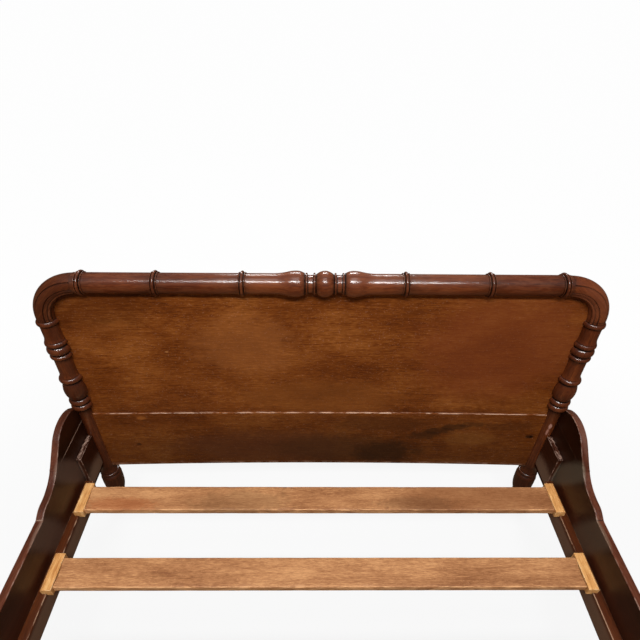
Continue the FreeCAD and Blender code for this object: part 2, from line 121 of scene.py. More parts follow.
class NodeSheet:
    """A node tree in the making, with short ways to add the nodes that the finishes use."""

    def __init__(self, tree: bpy.types.NodeTree) -> None:
        """Clears the tree and keeps it."""
        self.tree = tree
        tree.nodes.clear()

    @classmethod
    def of_material(cls, name: str) -> tuple[bpy.types.Material, "NodeSheet"]:
        """Makes a material with an empty sheet.

        Args:
            name: The material's name.

        Returns:
            The material and its sheet.
        """
        material = bpy.data.materials.new(name)
        material.use_nodes = True
        return material, cls(material.node_tree)

    def add(self, kind: str, **settings: object) -> bpy.types.Node:
        """Adds a node.

        Args:
            kind: The node's type.
            settings: Properties to set on it.

        Returns:
            The node.
        """
        node = self.tree.nodes.new(kind)
        for name, value in settings.items():
            setattr(node, name, value)
        return node

    def feed(self, socket: Socket, value: Feed) -> None:
        """Links a socket to another one, or sets its own value.

        Args:
            socket: The socket to feed.
            value: The socket that it follows, or its own value.
        """
        if isinstance(value, bpy.types.NodeSocket):
            self.tree.links.new(value, socket)
        else:
            socket.default_value = value

    def math(self, operation: str, first: Feed, second: Feed = 0.0, clamp: bool = False) -> Socket:
        """Adds a Math node.

        Args:
            operation: What it does.
            first: Its first value.
            second: Its second value.
            clamp: Whether the result stays between 0 and 1.

        Returns:
            The result's socket.
        """
        node = self.add("ShaderNodeMath", operation=operation, use_clamp=clamp)
        self.feed(node.inputs[0], first)
        self.feed(node.inputs[1], second)
        return node.outputs[0]

    def scaled(self, value: Feed, factor: float, offset: Feed) -> Socket:
        """Adds a Math node that multiplies and then adds.

        Args:
            value: What is multiplied.
            factor: What it is multiplied by.
            offset: What is added.

        Returns:
            The result's socket.
        """
        result = self.math("MULTIPLY_ADD", value, factor)
        self.feed(result.node.inputs[2], offset)
        return result

    def vector(self, operation: str, first: Feed, second: Feed, result: str = "Vector") -> Socket:
        """Adds a Vector Math node.

        Args:
            operation: What it does.
            first: Its first vector.
            second: Its second vector.
            result: The name of the output to use.

        Returns:
            The result's socket.
        """
        node = self.add("ShaderNodeVectorMath", operation=operation)
        self.feed(node.inputs[0], first)
        self.feed(node.inputs[1], second)
        return node.outputs[result]

    def stretched(self, direction: Sequence[float], factor: Socket) -> Socket:
        """Adds a vector that is as long as a socket says.

        Args:
            direction: The vector at a factor of 1.
            factor: The socket of the factor.

        Returns:
            The vector's socket.
        """
        result = self.vector("SCALE", direction, ORIGIN)
        self.feed(result.node.inputs["Scale"], factor)
        return result

    def length(self, value: Socket) -> Socket:
        """Adds a node that gives a vector's length."""
        return self.vector("LENGTH", value, ORIGIN, "Value")

    def place(self) -> Socket:
        """Adds a node that gives the place in the bed's frame, in metres."""
        return self.add("ShaderNodeTexCoord").outputs["Object"]

    def noise(self, place: Feed, lengths: Sequence[float], detail: float = 2.0, rough: float = 0.5) -> Socket:
        """Adds a noise that is stretched to its own length along each axis.

        Args:
            place: Where the noise is read, in metres.
            lengths: The noise's size along each axis, in millimetres.
            detail: How many finer layers it has.
            rough: How strong the finer layers are.

        Returns:
            The noise's socket, from 0 to 1 about a middle of 0.5.
        """
        scaled = self.vector("MULTIPLY", place, [1 / (length * MM) for length in lengths])
        node = self.add("ShaderNodeTexNoise", noise_dimensions="3D")
        self.feed(node.inputs["Vector"], scaled)
        node.inputs["Scale"].default_value = 1.0
        node.inputs["Detail"].default_value = detail
        node.inputs["Roughness"].default_value = rough
        return node.outputs["Fac"]

    def ease(self, value: Feed, low: float, high: float) -> Socket:
        """Adds a smooth step.

        Args:
            value: What is stepped.
            low: The value that gives 0.
            high: The value that gives 1, which may be below low.

        Returns:
            The step's socket.
        """
        node = self.add("ShaderNodeMapRange", interpolation_type="SMOOTHSTEP")
        self.feed(node.inputs["Value"], value)
        node.inputs["From Min"].default_value = low
        node.inputs["From Max"].default_value = high
        return node.outputs["Result"]

    def ramp(self, value: Feed, stops: Sequence[tuple[float, Colour]]) -> Socket:
        """Adds a colour ramp.

        Args:
            value: The place on the ramp.
            stops: The place and the colour of each stop.

        Returns:
            The colour's socket.
        """
        node = self.add("ShaderNodeValToRGB")
        self.feed(node.inputs["Fac"], value)
        elements = node.color_ramp.elements
        while len(elements) < len(stops):
            elements.new(0.5)
        for element, (position, colour) in zip(elements, stops):
            element.position = position
            element.color = colour.linear()
        return node.outputs["Color"]

    def mix(self, share: Feed, first: Feed, second: Feed) -> Socket:
        """Adds a colour mix.

        Args:
            share: How much of the second colour there is.
            first: The first colour.
            second: The second colour.

        Returns:
            The colour's socket.
        """
        node = self.add("ShaderNodeMix", data_type="RGBA")
        self.feed(node.inputs[0], share)
        self.feed(node.inputs[6], first)
        self.feed(node.inputs[7], second)
        return node.outputs[2]

    def attribute(self, name: str, output: str) -> Socket:
        """Adds an Attribute node and gives one of its outputs."""
        return self.add("ShaderNodeAttribute", attribute_name=name).outputs[output]

    def bump(self, height: Feed, depth: float) -> Socket:
        """Adds a bump.

        Args:
            height: The height, from 0 to 1.
            depth: How deep that is, in millimetres.

        Returns:
            The normal's socket.
        """
        node = self.add("ShaderNodeBump")
        node.inputs["Strength"].default_value = 1.0
        node.inputs["Distance"].default_value = depth * MM
        self.feed(node.inputs["Height"], height)
        return node.outputs["Normal"]

    def mirrored(self, path: bpy.types.Node) -> Socket:
        """Adds a test for rays that come off gloss or through glass, from a Light Path node."""
        return self.math("MAXIMUM", path.outputs["Is Glossy Ray"], path.outputs["Is Transmission Ray"])

    def surface(self, shader: bpy.types.Node, output: str = "ShaderNodeOutputMaterial") -> None:
        """Ends the sheet with a shader on an output node."""
        self.feed(self.add(output).inputs["Surface"], shader.outputs[0])


@dataclass(frozen=True)
class Noise:
    """A noise that is stretched along the grain.

    Attributes:
        along: Its size along the grain, in millimetres.
        across: Its size across and through the grain, in millimetres.
        detail: How many finer layers it has.
        rough: How strong the finer layers are.
        step: The values between which it steps from 0 to 1, for a noise that shows as spots.
    """

    along: float
    across: float
    detail: float = 2.0
    rough: float = 0.5
    step: Optional[Pair] = None

    def read(self, sheet: NodeSheet, place: Socket) -> Socket:
        """Adds the noise to a sheet.

        Args:
            sheet: The material's node sheet.
            place: Where the noise is read, in metres.

        Returns:
            The noise's socket.
        """
        value = sheet.noise(place, (self.along, self.across, self.across), self.detail, self.rough)
        return sheet.ease(value, *self.step) if self.step else value


@dataclass(frozen=True)
class Mark:
    """A knot, chip or stain, or a patch of painted light, shade or reflection, at one place of the bed.

    Attributes:
        centre: Its place in the bed's frame, in millimetres.
        reach: Its half size along each axis, in millimetres.
        colour: Its colour.
        strength: How much of its colour shows.
        ragged: How uneven its rim is, as a share of its size.
        lean: How far it falls towards the head, as a share of its run.
        rim: Where it starts to show and where it shows in full, as shares of its size.
    """

    centre: Triple
    reach: Triple
    colour: Colour
    strength: float = 1.0
    ragged: float = 0.6
    lean: float = 0.0
    rim: Pair = (1.15, 0.55)

    def paint(self, sheet: NodeSheet, under: Socket) -> Socket:
        """Lays the mark over a colour.

        Args:
            sheet: The material's node sheet.
            under: The colour below.

        Returns:
            The colour with the mark.
        """
        place = sheet.place()
        offset = sheet.vector("SUBTRACT", place, [value * MM for value in self.centre])
        if self.lean:
            fallen = sheet.vector("DOT_PRODUCT", offset, (0.0, self.lean, 0.0), "Value")
            offset = sheet.vector("ADD", offset, sheet.stretched((0.0, 0.0, 1.0), fallen))
        spread = sheet.vector("DIVIDE", offset, [value * MM for value in self.reach])
        wander = sheet.noise(place, [min(self.reach)] * 3, detail=3.0, rough=0.7)
        ragged = sheet.scaled(wander, 2 * self.ragged, -self.ragged)
        mask = sheet.ease(sheet.math("ADD", sheet.length(spread), ragged), *self.rim)
        return sheet.mix(sheet.math("MULTIPLY", mask, self.strength), under, self.colour.linear())


@dataclass(frozen=True)
class WoodFinish:
    """A wood with its stain and polish.

    Attributes:
        dark: The colour of its darkest streaks.
        body: Its main colour.
        light: The colour of its lightest streaks.
        rubbed: The colour of rubbed edges, also used for painted highlights and painted light.
        dirt: The colour of hollows and of faces without polish, which also paints shade.
        band: The width of its broad bands, in millimetres.
        streak: The length and the width of its streaks, in millimetres.
        fibre: The length and the width of its fibres, in millimetres.
        cloud: The size of its clouds along and across the grain, in millimetres.
        shares: How much bands, streaks, clouds and fibres count in the colour.
        contrast: How strongly its streaks and clouds show.
        roughness: How matt it is.
        shine: How strongly it reflects, 0.5 being clear varnish.
        polish: The weight of its clear coat.
        polish_roughness: How matt the coat is.
        relief: The depth of the grain, in millimetres.
        ripple: The depth of the brushed polish's ripples, in millimetres.
        glint_specks: How strongly small painted highlights show, as specks of the finish catching the light.
        on_frame: Whether it dresses pieces of the frame, which have no grain of their own.
        marks: Its knots, chips and stains, and its patches of painted light, shade and reflection.
        band_length: The length of its broad bands, in millimetres.
        wander: The slow wander of the grain.
        sway: How far the grain wanders, in metres.
        pore: Its open pores.
        pore_strength: How dark they are.
        chafe: Where rubbed edges have lost their stain.
        glint_speck: Its small specks of painted highlight.
        ripples: The ripples of brushed polish.
        tone_spread: How far the tones spread before the contrast.
        cloudy_dirt: How much the clouds change the dirt.
        cloudy_gloss: How much the clouds change the roughness.
        rubbed_matt: How much more matt rubbed wood is.
        heights: How much fibres, pores and streaks count in the relief.
        patchiness: The share of the coat that has worn in patches.
        patches: The cloud values between which the coat goes from worn to full.
        dulled: The dirt values between which the coat goes from hidden to full.
    """

    dark: Colour
    body: Colour
    light: Colour
    rubbed: Colour
    dirt: Colour
    band: float = 30.0
    streak: Pair = (180.0, 4.0)
    fibre: Pair = (20.0, 1.8)
    cloud: Pair = (420.0, 160.0)
    shares: Four = (0.3, 0.3, 0.4, 0.3)
    contrast: float = 1.0
    roughness: float = 0.36
    shine: float = 0.25
    polish: float = 0.0
    polish_roughness: float = 0.14
    relief: float = 0.12
    ripple: float = 0.05
    glint_specks: float = 0.0
    on_frame: bool = False
    marks: tuple[Mark, ...] = ()
    band_length: float = 900.0
    wander: Noise = Noise(700.0, 120.0)
    sway: float = 0.05
    pore: Noise = Noise(9.0, 0.9, 1.0, step=(0.6, 0.72))
    pore_strength: float = 0.45
    chafe: Noise = Noise(38.0, 9.0, 4.0, 0.65, (0.42, 0.6))
    glint_speck: Noise = Noise(4.5, 2.4, 1.0, step=(0.64, 0.76))
    ripples: Noise = Noise(5.0, 3.2, 2.0, 0.6)
    tone_spread: float = 0.26
    cloudy_dirt: float = 0.5
    cloudy_gloss: float = 0.18
    rubbed_matt: float = 0.15
    heights: Triple = (0.5, 0.6, 0.5)
    patchiness: float = 0.6
    patches: Pair = (0.36, 0.62)
    dulled: Pair = (0.95, 0.45)

    def material(self, slot: Slot) -> bpy.types.Material:
        """Makes the material.

        Args:
            slot: The slot that it is for.

        Returns:
            The material.
        """
        material, sheet = NodeSheet.of_material(slot.value)
        grain = self.swayed_grain(sheet)
        bands = Noise(self.band_length, self.band, detail=3.0).read(sheet, grain)
        streaks = Noise(*self.streak, detail=4.0, rough=0.6).read(sheet, grain)
        clouds = Noise(*self.cloud, detail=3.0, rough=0.55).read(sheet, grain)
        fibres = Noise(*self.fibre, detail=2.0, rough=0.6).read(sheet, grain)
        pores = self.pore.read(sheet, grain)
        ripples = self.ripples.read(sheet, grain)
        # The grime attribute carries dirt, and on some pieces painted shade too.
        dirt = sheet.scaled(clouds, self.cloudy_dirt, 1 - self.cloudy_dirt / 2)
        dirt = sheet.math("MULTIPLY", sheet.attribute("grime", "Fac"), dirt, clamp=True)
        rubbed = sheet.math("MULTIPLY", sheet.attribute("wear", "Fac"), self.chafe.read(sheet, grain))
        colour = self.stained(sheet, (bands, streaks, clouds, fibres))
        for share, over in (
            (sheet.math("MULTIPLY", pores, self.pore_strength), self.dark),
            (dirt, self.dirt),
            (rubbed, self.rubbed),
            # Painted highlights: small specks of the finish catching the light.
            (sheet.math("MULTIPLY", self.glint_speck.read(sheet, grain), self.glint_specks), self.rubbed),
        ):
            colour = sheet.mix(share, colour, over.linear())
        for mark in self.marks:
            colour = mark.paint(sheet, colour)
        gloss = sheet.scaled(clouds, self.cloudy_gloss, self.roughness - self.cloudy_gloss / 2)
        gloss = sheet.math("ADD", gloss, sheet.math("MULTIPLY", rubbed, self.rubbed_matt))
        layers = zip((fibres, pores, streaks), self.heights)
        fibre, pore, streak = (sheet.math("MULTIPLY", layer, share) for layer, share in layers)
        height = sheet.math("ADD", sheet.math("SUBTRACT", fibre, pore), streak)
        if not self.polish:
            height = sheet.math("ADD", height, sheet.math("MULTIPLY", ripples, self.ripple / self.relief))
        shader = sheet.add("ShaderNodeBsdfPrincipled")
        sheet.feed(shader.inputs["Base Color"], colour)
        sheet.feed(shader.inputs["Roughness"], gloss)
        sheet.feed(shader.inputs["Normal"], sheet.bump(height, self.relief))
        shader.inputs["Specular IOR Level"].default_value = self.shine
        if self.polish:
            worn = sheet.ease(clouds, *self.patches)
            patchy = sheet.scaled(worn, self.patchiness * self.polish, (1 - self.patchiness) * self.polish)
            coat = sheet.math("MULTIPLY", sheet.ease(dirt, *self.dulled), patchy)
            sheet.feed(shader.inputs["Coat Weight"], coat)
            sheet.feed(shader.inputs["Coat Normal"], sheet.bump(ripples, self.ripple))
            shader.inputs["Coat Roughness"].default_value = self.polish_roughness
        sheet.surface(shader)
        return material

    def swayed_grain(self, sheet: NodeSheet) -> Socket:
        """Adds the place in the grain, which wanders a little.

        Args:
            sheet: The material's node sheet.

        Returns:
            The place along, across and through the grain, in metres.
        """
        grain = sheet.place() if self.on_frame else sheet.attribute("grain", "Vector")
        wander = sheet.math("MULTIPLY", self.wander.read(sheet, grain), self.sway)
        return sheet.vector("ADD", grain, sheet.stretched((0.0, 1.0, 0.7), wander))

    def stained(self, sheet: NodeSheet, layers: Sequence[Socket]) -> Socket:
        """Adds the stained wood's own colour.

        Args:
            sheet: The material's node sheet.
            layers: The bands, streaks, clouds and fibres.

        Returns:
            The colour's socket.
        """
        tone = sheet.math("MULTIPLY", layers[0], self.shares[0])
        for layer, share in zip(layers[1:], self.shares[1:]):
            tone = sheet.scaled(layer, share, tone)
        middle = sum(self.shares) / 2
        spread = self.tone_spread * math.hypot(*self.shares) / self.contrast
        stops = [(middle - spread, self.dark), (middle, self.body), (middle + spread, self.light)]
        return sheet.ramp(tone, stops)


@dataclass(frozen=True)
class SteelFinish:
    """Plain steel that has dulled and spotted.

    Attributes:
        clean: The colour of the bare metal.
        spotted: The colour of its rust spots.
        roughness: How matt the bare metal is.
        spot: Its rust spots.
        scratch: Its fine scratches.
        scratch_strength: How much of the spots' colour the scratches show.
        spot_matt: How much more matt the spots are.
        spot_metal: How much less metallic the spots are.
        relief: The depth of the spots and scratches, in millimetres.
    """

    clean: Colour
    spotted: Colour
    roughness: float = 0.42
    spot: Noise = Noise(4.0, 4.0, 5.0, 0.65, (0.5, 0.66))
    scratch: Noise = Noise(0.5, 9.0)
    scratch_strength: float = 0.5
    spot_matt: float = 0.4
    spot_metal: float = 0.8
    relief: float = 0.05

    def material(self, slot: Slot) -> bpy.types.Material:
        """Makes the material.

        Args:
            slot: The slot that it is for.

        Returns:
            The material.
        """
        material, sheet = NodeSheet.of_material(slot.value)
        place = sheet.place()
        spots = self.spot.read(sheet, place)
        scratches = self.scratch.read(sheet, place)
        scratched = sheet.math("MULTIPLY", scratches, self.scratch_strength)
        bare = sheet.mix(scratched, self.clean.linear(), self.spotted.linear())
        shader = sheet.add("ShaderNodeBsdfPrincipled")
        sheet.feed(shader.inputs["Base Color"], sheet.mix(spots, bare, self.spotted.linear()))
        sheet.feed(shader.inputs["Roughness"], sheet.scaled(spots, self.spot_matt, self.roughness))
        sheet.feed(shader.inputs["Metallic"], sheet.scaled(spots, -self.spot_metal, 1.0))
        sheet.feed(shader.inputs["Normal"], sheet.bump(sheet.math("ADD", spots, scratches), self.relief))
        sheet.surface(shader)
        return material


POST_CHIPS_AND_PAINTED_LIGHT = (
    Mark((674.7, 975.7, 431.9), (5.0, 8.0, 12.0), Colour(176, 132, 116), 0.85),
    Mark((672.8, 976.2, 407.0), (3.5, 8.0, 15.0), Colour(168, 120, 104), 0.8),
    Mark((-682.0, 975.5, 376.0), (3.0, 6.0, 9.0), Colour(170, 140, 120), 0.8),
    # A darker patch over the left head post's vase.
    Mark((-679.0, 985.0, 568.0), (50.0, 50.0, 44.0), Colour(44, 16, 6), 0.55, 0.2),
    # Painted light: the right head elbow is lightened where the lamp lights it more.
    Mark((650.0, 995.0, 880.0), (80.0, 60.0, 70.0), Colour(124, 68, 42), 0.4, 0.2),
)
PANEL_MARKS_AND_PAINTED_LIGHT = (
    Mark((636.0, 989.0, 368.5), (14.0, 9.0, 9.0), Colour(34, 16, 8), 0.8),
    Mark((640.0, 989.0, 367.0), (6.0, 6.0, 5.0), Colour(16, 7, 4), 0.95),
    Mark((560.0, 989.0, 412.0), (95.0, 20.0, 22.0), Colour(58, 28, 12), 0.4),
    Mark((-524.5, 989.0, 446.0), (17.0, 9.0, 9.0), Colour(150, 88, 38), 0.65, 0.3),
    Mark((-556.0, 989.0, 326.0), (9.0, 8.0, 8.0), Colour(38, 20, 10), 0.6),
    Mark((-406.0, 993.0, 700.0), (5.0, 5.0, 4.0), Colour(176, 120, 70), 0.6),
    Mark((-531.0, 993.0, 603.0), (12.0, 6.0, 5.0), Colour(150, 92, 44), 0.55),
    Mark((-542.0, 993.0, 803.0), (30.0, 8.0, 8.0), Colour(60, 28, 10), 0.25),
    Mark((-553.0, 993.0, 779.0), (22.0, 10.0, 14.0), Colour(138, 78, 34), 0.45),
    # The next three marks are painted light and shade: darker at the top left and on the right, lighter in
    # the middle on the left, as the light falls across the panel.
    Mark((-560.0, 993.0, 850.0), (170.0, 60.0, 90.0), Colour(70, 30, 6), 0.45),
    Mark((470.0, 993.0, 720.0), (250.0, 60.0, 210.0), Colour(116, 57, 28), 0.6, 0.4),
    Mark((-200.0, 993.0, 720.0), (150.0, 60.0, 110.0), Colour(150, 92, 48), 0.35),
    Mark((0.0, 993.0, 530.0), (240.0, 60.0, 80.0), Colour(124, 72, 30), 0.45, 0.4),
    Mark((-160.0, 989.0, 310.0), (330.0, 60.0, 90.0), Colour(82, 46, 28), 0.5, 0.4),
    Mark((90.0, 989.0, 300.0), (260.0, 60.0, 80.0), Colour(52, 30, 16), 0.45, 0.4),
    Mark((205.0, 989.0, 282.0), (120.0, 60.0, 62.0), Colour(34, 20, 10), 0.55, 0.6),
    Mark((180.0, 989.0, 420.0), (170.0, 60.0, 40.0), Colour(66, 34, 14), 0.5, 0.5),
    Mark((312.0, 989.0, 368.0), (52.0, 40.0, 20.0), Colour(46, 26, 13), 0.6, 0.7),
    Mark((352.0, 989.0, 388.0), (50.0, 40.0, 17.0), Colour(40, 23, 12), 0.65, 0.7),
    Mark((398.0, 989.0, 406.0), (50.0, 40.0, 15.0), Colour(42, 24, 12), 0.65, 0.7),
    Mark((448.0, 989.0, 420.0), (50.0, 40.0, 13.0), Colour(50, 28, 13), 0.5, 0.7),
    Mark((460.0, 989.0, 352.0), (90.0, 40.0, 34.0), Colour(122, 76, 34), 0.4, 0.5),
)
RAIL_MARKS_AND_PAINTED_LIGHT = (
    # Painted highlight on the left and painted shade on the right, in the crease where each scroll's step
    # meets the straight top.
    Mark((-700.0, 694.0, 408.0), (12.0, 1.6, 5.0), Colour(150, 122, 104), 0.7, 0.3),
    Mark((700.0, 694.0, 408.0), (12.0, 1.6, 5.0), Colour(28, 12, 8), 0.7, 0.3),
    # Painted reflections: a grey sheen on the lower part of the rails' inner faces.
    Mark((-691.0, 850.0, 387.0), (9.0, 90.0, 60.0), Colour(122, 100, 86), 0.5, 0.2, 1.28),
    Mark((-691.0, 672.0, 384.0), (9.0, 90.0, 100.0), Colour(122, 100, 86), 0.45, 0.2, 1.75),
    Mark((691.0, 852.0, 376.0), (9.0, 90.0, 60.0), Colour(116, 106, 88), 0.52, 0.2, 1.42),
    Mark((691.0, 680.0, 356.0), (9.0, 90.0, 100.0), Colour(116, 100, 82), 0.45, 0.2, 1.8),
    # Painted reflections: a grey sheen on the lower part of the corner blocks' inner faces.
    Mark((-677.0, 930.0, 262.0), (5.0, 80.0, 62.0), Colour(148, 118, 96), 0.65, 0.3),
    Mark((677.0, 930.0, 262.0), (5.0, 80.0, 62.0), Colour(148, 118, 96), 0.65, 0.3),
    # Painted shade on the top of the left scroll and a painted sheen on the top of the right one.
    Mark((-700.0, 905.0, 515.0), (16.0, 130.0, 60.0), Colour(60, 28, 15), 0.4, 0.2),
    Mark((704.0, 905.0, 515.0), (10.0, 130.0, 60.0), Colour(120, 86, 74), 0.3, 0.2),
    # The glue line on the left inner face: a pale joint with a painted highlight along it.
    Mark((-691.0, 915.0, 450.2), (4.0, 84.0, 2.0), Colour(168, 142, 126), 0.9, 0.25),
)
SLAT_MARKS = (
    Mark((-230.0, 806.0, 308.0), (150.0, 40.0, 30.0), Colour(120, 86, 54), 0.4, 0.8),
    Mark((-560.0, 800.0, 308.0), (110.0, 24.0, 9.0), Colour(176, 100, 56), 0.4, 0.8),
    Mark((430.0, 820.0, 308.0), (240.0, 60.0, 40.0), Colour(132, 82, 48), 0.55, 0.8),
    Mark((270.0, 802.0, 308.0), (120.0, 26.0, 14.0), Colour(100, 64, 38), 0.45, 0.7),
)
FINISHES: dict[Slot, Union[WoodFinish, SteelFinish]] = {
    Slot.TURNED: WoodFinish(
        dark=Colour(52, 17, 4), body=Colour(88, 38, 13), light=Colour(120, 61, 25),
        rubbed=Colour(150, 94, 62), dirt=Colour(14, 4, 1), band=22.0, cloud=(260.0, 70.0), roughness=0.56,
        shine=0.16, polish=0.88, polish_roughness=0.14, relief=0.06, ripple=0.36, marks=POST_CHIPS_AND_PAINTED_LIGHT,
    ),
    Slot.PANEL: WoodFinish(
        dark=Colour(78, 34, 8), body=Colour(114, 59, 19), light=Colour(148, 88, 38),
        rubbed=Colour(206, 170, 146), dirt=Colour(40, 18, 6), band=40.0, streak=(80.0, 3.4),
        fibre=(16.0, 2.4), cloud=(200.0, 130.0), shares=(0.1, 0.32, 0.45, 0.4), contrast=1.2, roughness=0.36,
        shine=0.15, relief=0.1, ripple=0.08, glint_specks=0.2, marks=PANEL_MARKS_AND_PAINTED_LIGHT,
    ),
    Slot.RAIL: WoodFinish(
        dark=Colour(50, 20, 10), body=Colour(80, 39, 23), light=Colour(108, 60, 40),
        rubbed=Colour(168, 138, 122), dirt=Colour(22, 6, 1), band=26.0, cloud=(320.0, 90.0), roughness=0.34,
        shine=0.24, relief=0.1, marks=RAIL_MARKS_AND_PAINTED_LIGHT,
    ),
    Slot.LEDGER: WoodFinish(
        dark=Colour(46, 18, 5), body=Colour(76, 34, 10), light=Colour(100, 50, 19),
        rubbed=Colour(170, 136, 110), dirt=Colour(122, 92, 73), band=20.0, roughness=0.4, shine=0.3,
        relief=0.16,
    ),
    Slot.SLAT: WoodFinish(
        dark=Colour(134, 85, 51), body=Colour(172, 119, 77), light=Colour(203, 149, 100),
        rubbed=Colour(222, 168, 118), dirt=Colour(118, 74, 44), band=30.0, streak=(70.0, 3.0),
        fibre=(14.0, 2.0), cloud=(170.0, 46.0), shares=(0.2, 0.3, 0.5, 0.45), contrast=1.3, roughness=0.5,
        shine=0.25, relief=0.2, glint_specks=0.35, marks=SLAT_MARKS,
    ),
    Slot.BLOCK: WoodFinish(
        dark=Colour(176, 112, 56), body=Colour(214, 156, 92), light=Colour(242, 194, 132),
        rubbed=Colour(250, 220, 172), dirt=Colour(150, 98, 52), band=9.0, streak=(40.0, 2.2),
        cloud=(60.0, 16.0), contrast=1.2, roughness=0.45, shine=0.35, relief=0.25, glint_specks=0.4,
    ),
    Slot.DOWEL: WoodFinish(
        dark=Colour(150, 110, 70), body=Colour(190, 150, 104), light=Colour(210, 174, 130),
        rubbed=Colour(200, 160, 110), dirt=Colour(120, 90, 60), band=6.0, streak=(60.0, 1.5), roughness=0.6,
        relief=0.1, on_frame=True,
    ),
    Slot.HOOK: SteelFinish(Colour(148, 142, 136), Colour(84, 62, 46)),
    Slot.SCREW: SteelFinish(Colour(172, 166, 158), Colour(96, 72, 52), 0.36),
}
Materials = dict[Slot, bpy.types.Material]
Rows = tuple[np.ndarray, ...]
# The angle from which an edge is sharp, in degrees
CREASE = 38.0
# The factor and the span, along each axis, that give a piece its own place in the wood
GRAIN_SHIFTS = ((0.37, 17), (0.11, 13), (0.07, 11))


def uneven(places: np.ndarray, seed: int, wave: float) -> np.ndarray:
    """Makes a line that wanders, the same each run.

    Args:
        places: Where it is read, in millimetres.
        seed: Picks the line.
        wave: Its longest wave, in millimetres.

    Returns:
        Values between about -1 and 1.
    """
    random = np.random.default_rng(seed)
    total = np.zeros_like(places)
    for octave in range(1, 6):
        turns = octave * random.uniform(0.7, 1.3) / wave
        total += np.sin(2 * np.pi * (places * turns + random.uniform(0, 1))) / octave
    return total / 2


@dataclass
class Piece:
    """A wooden piece in the making, from closed skins.

    Attributes:
        name: The CAD node that it stands for, or its own name.
        slot: Its material slot.
        body: The body that it rides on.
        points: The points of each skin.
        grain: Their places along, across and through the grain.
        wear: How rubbed they are; on some faces this also paints light.
        grime: How dirty they are; on some pieces this also paints shade.
        faces: The faces, as numbers of points.
    """

    name: str
    slot: Slot
    body: str = "root"
    points: list[np.ndarray] = field(default_factory=list)
    grain: list[np.ndarray] = field(default_factory=list)
    wear: list[np.ndarray] = field(default_factory=list)
    grime: list[np.ndarray] = field(default_factory=list)
    faces: list[list[int]] = field(default_factory=list)

    @property
    def seed(self) -> int:
        """A number that is this piece's own."""
        return zlib.crc32(self.name.encode()) % 9973

    def add_skin(self, points: np.ndarray, grain: np.ndarray, wear: np.ndarray, grime: np.ndarray) -> None:
        """Adds a closed skin, with a flat face over each end.

        Args:
            points: Rows of points in the bed's frame, in millimetres, each row a closed outline.
            grain: The place of each point along, across and through the grain, in millimetres.
            wear: How rubbed each point is, from 0 to 1.
            grime: How dirty each point is, from 0 to 1.
        """
        rows, columns = points.shape[:2]
        first = sum(len(part) for part in self.points)
        index = first + np.arange(rows * columns).reshape(rows, columns)
        near, far = index[:-1], index[1:]
        corners = [near, np.roll(near, -1, 1), np.roll(far, -1, 1), far]
        faces = np.stack(corners, -1).reshape(-1, 4).tolist()
        faces += [index[0][::-1].tolist(), index[-1].tolist()]
        if self.encloses(points) < 0:
            faces = [face[::-1] for face in faces]
        self.points.append(points.reshape(-1, 3))
        self.grain.append(grain.reshape(-1, 3))
        self.wear.append(np.broadcast_to(wear, (rows, columns)).reshape(-1))
        self.grime.append(np.broadcast_to(grime, (rows, columns)).reshape(-1))
        self.faces += faces

    @staticmethod
    def encloses(points: np.ndarray) -> float:
        """Measures a skin.

        Args:
            points: Its rows of points.

        Returns:
            Its volume, below 0 where its faces look inwards.
        """
        shifted = points - points.reshape(-1, 3).mean(0)
        near, far = shifted[:-1], shifted[1:]
        near_next, far_next = np.roll(near, -1, 1), np.roll(far, -1, 1)
        total = np.einsum("ijk,ijk", near, np.cross(near_next, far_next))
        total += np.einsum("ijk,ijk", near, np.cross(far_next, far))
        for ring, sign in ((shifted[0], -1), (shifted[-1], 1)):
            total += sign * (np.cross(ring, np.roll(ring, -1, 0)) @ ring.mean(0)).sum()
        return float(total)

    def build(self, materials: Materials, node: Optional[str] = None) -> None:
        """Makes the object and puts it on its body.

        Args:
            materials: The material of each slot.
            node: The CAD node that the piece stands for.
        """
        mesh = bpy.data.meshes.new(self.name)
        points = np.concatenate(self.points) * MM
        mesh.from_pydata(points.tolist(), [], self.faces)
        shift = np.array([self.seed * factor % span for factor, span in GRAIN_SHIFTS])
        grain = np.concatenate(self.grain) * MM + shift
        mesh.attributes.new("grain", "FLOAT_VECTOR", "POINT").data.foreach_set("vector", grain.ravel())
        for name, values in (("wear", self.wear), ("grime", self.grime)):
            mesh.attributes.new(name, "FLOAT", "POINT").data.foreach_set("value", np.concatenate(values))
        mesh.shade_smooth()
        mesh.set_sharp_from_angle(angle=math.radians(CREASE))
        mesh.materials.append(materials[self.slot])
        piece = bpy.data.objects.new(f"{self.name}_wood", mesh)
        bpy.context.scene.collection.objects.link(piece)
        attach(piece, self.body)
        if node:
            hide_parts(node)
        LOG.info("%s: %d points on body %s", piece.name, len(points), self.body)


def along_grain(points: np.ndarray, along: Along) -> np.ndarray:
    """Gives points in the order along, across and through the grain."""
    return points[..., list(along.value)]


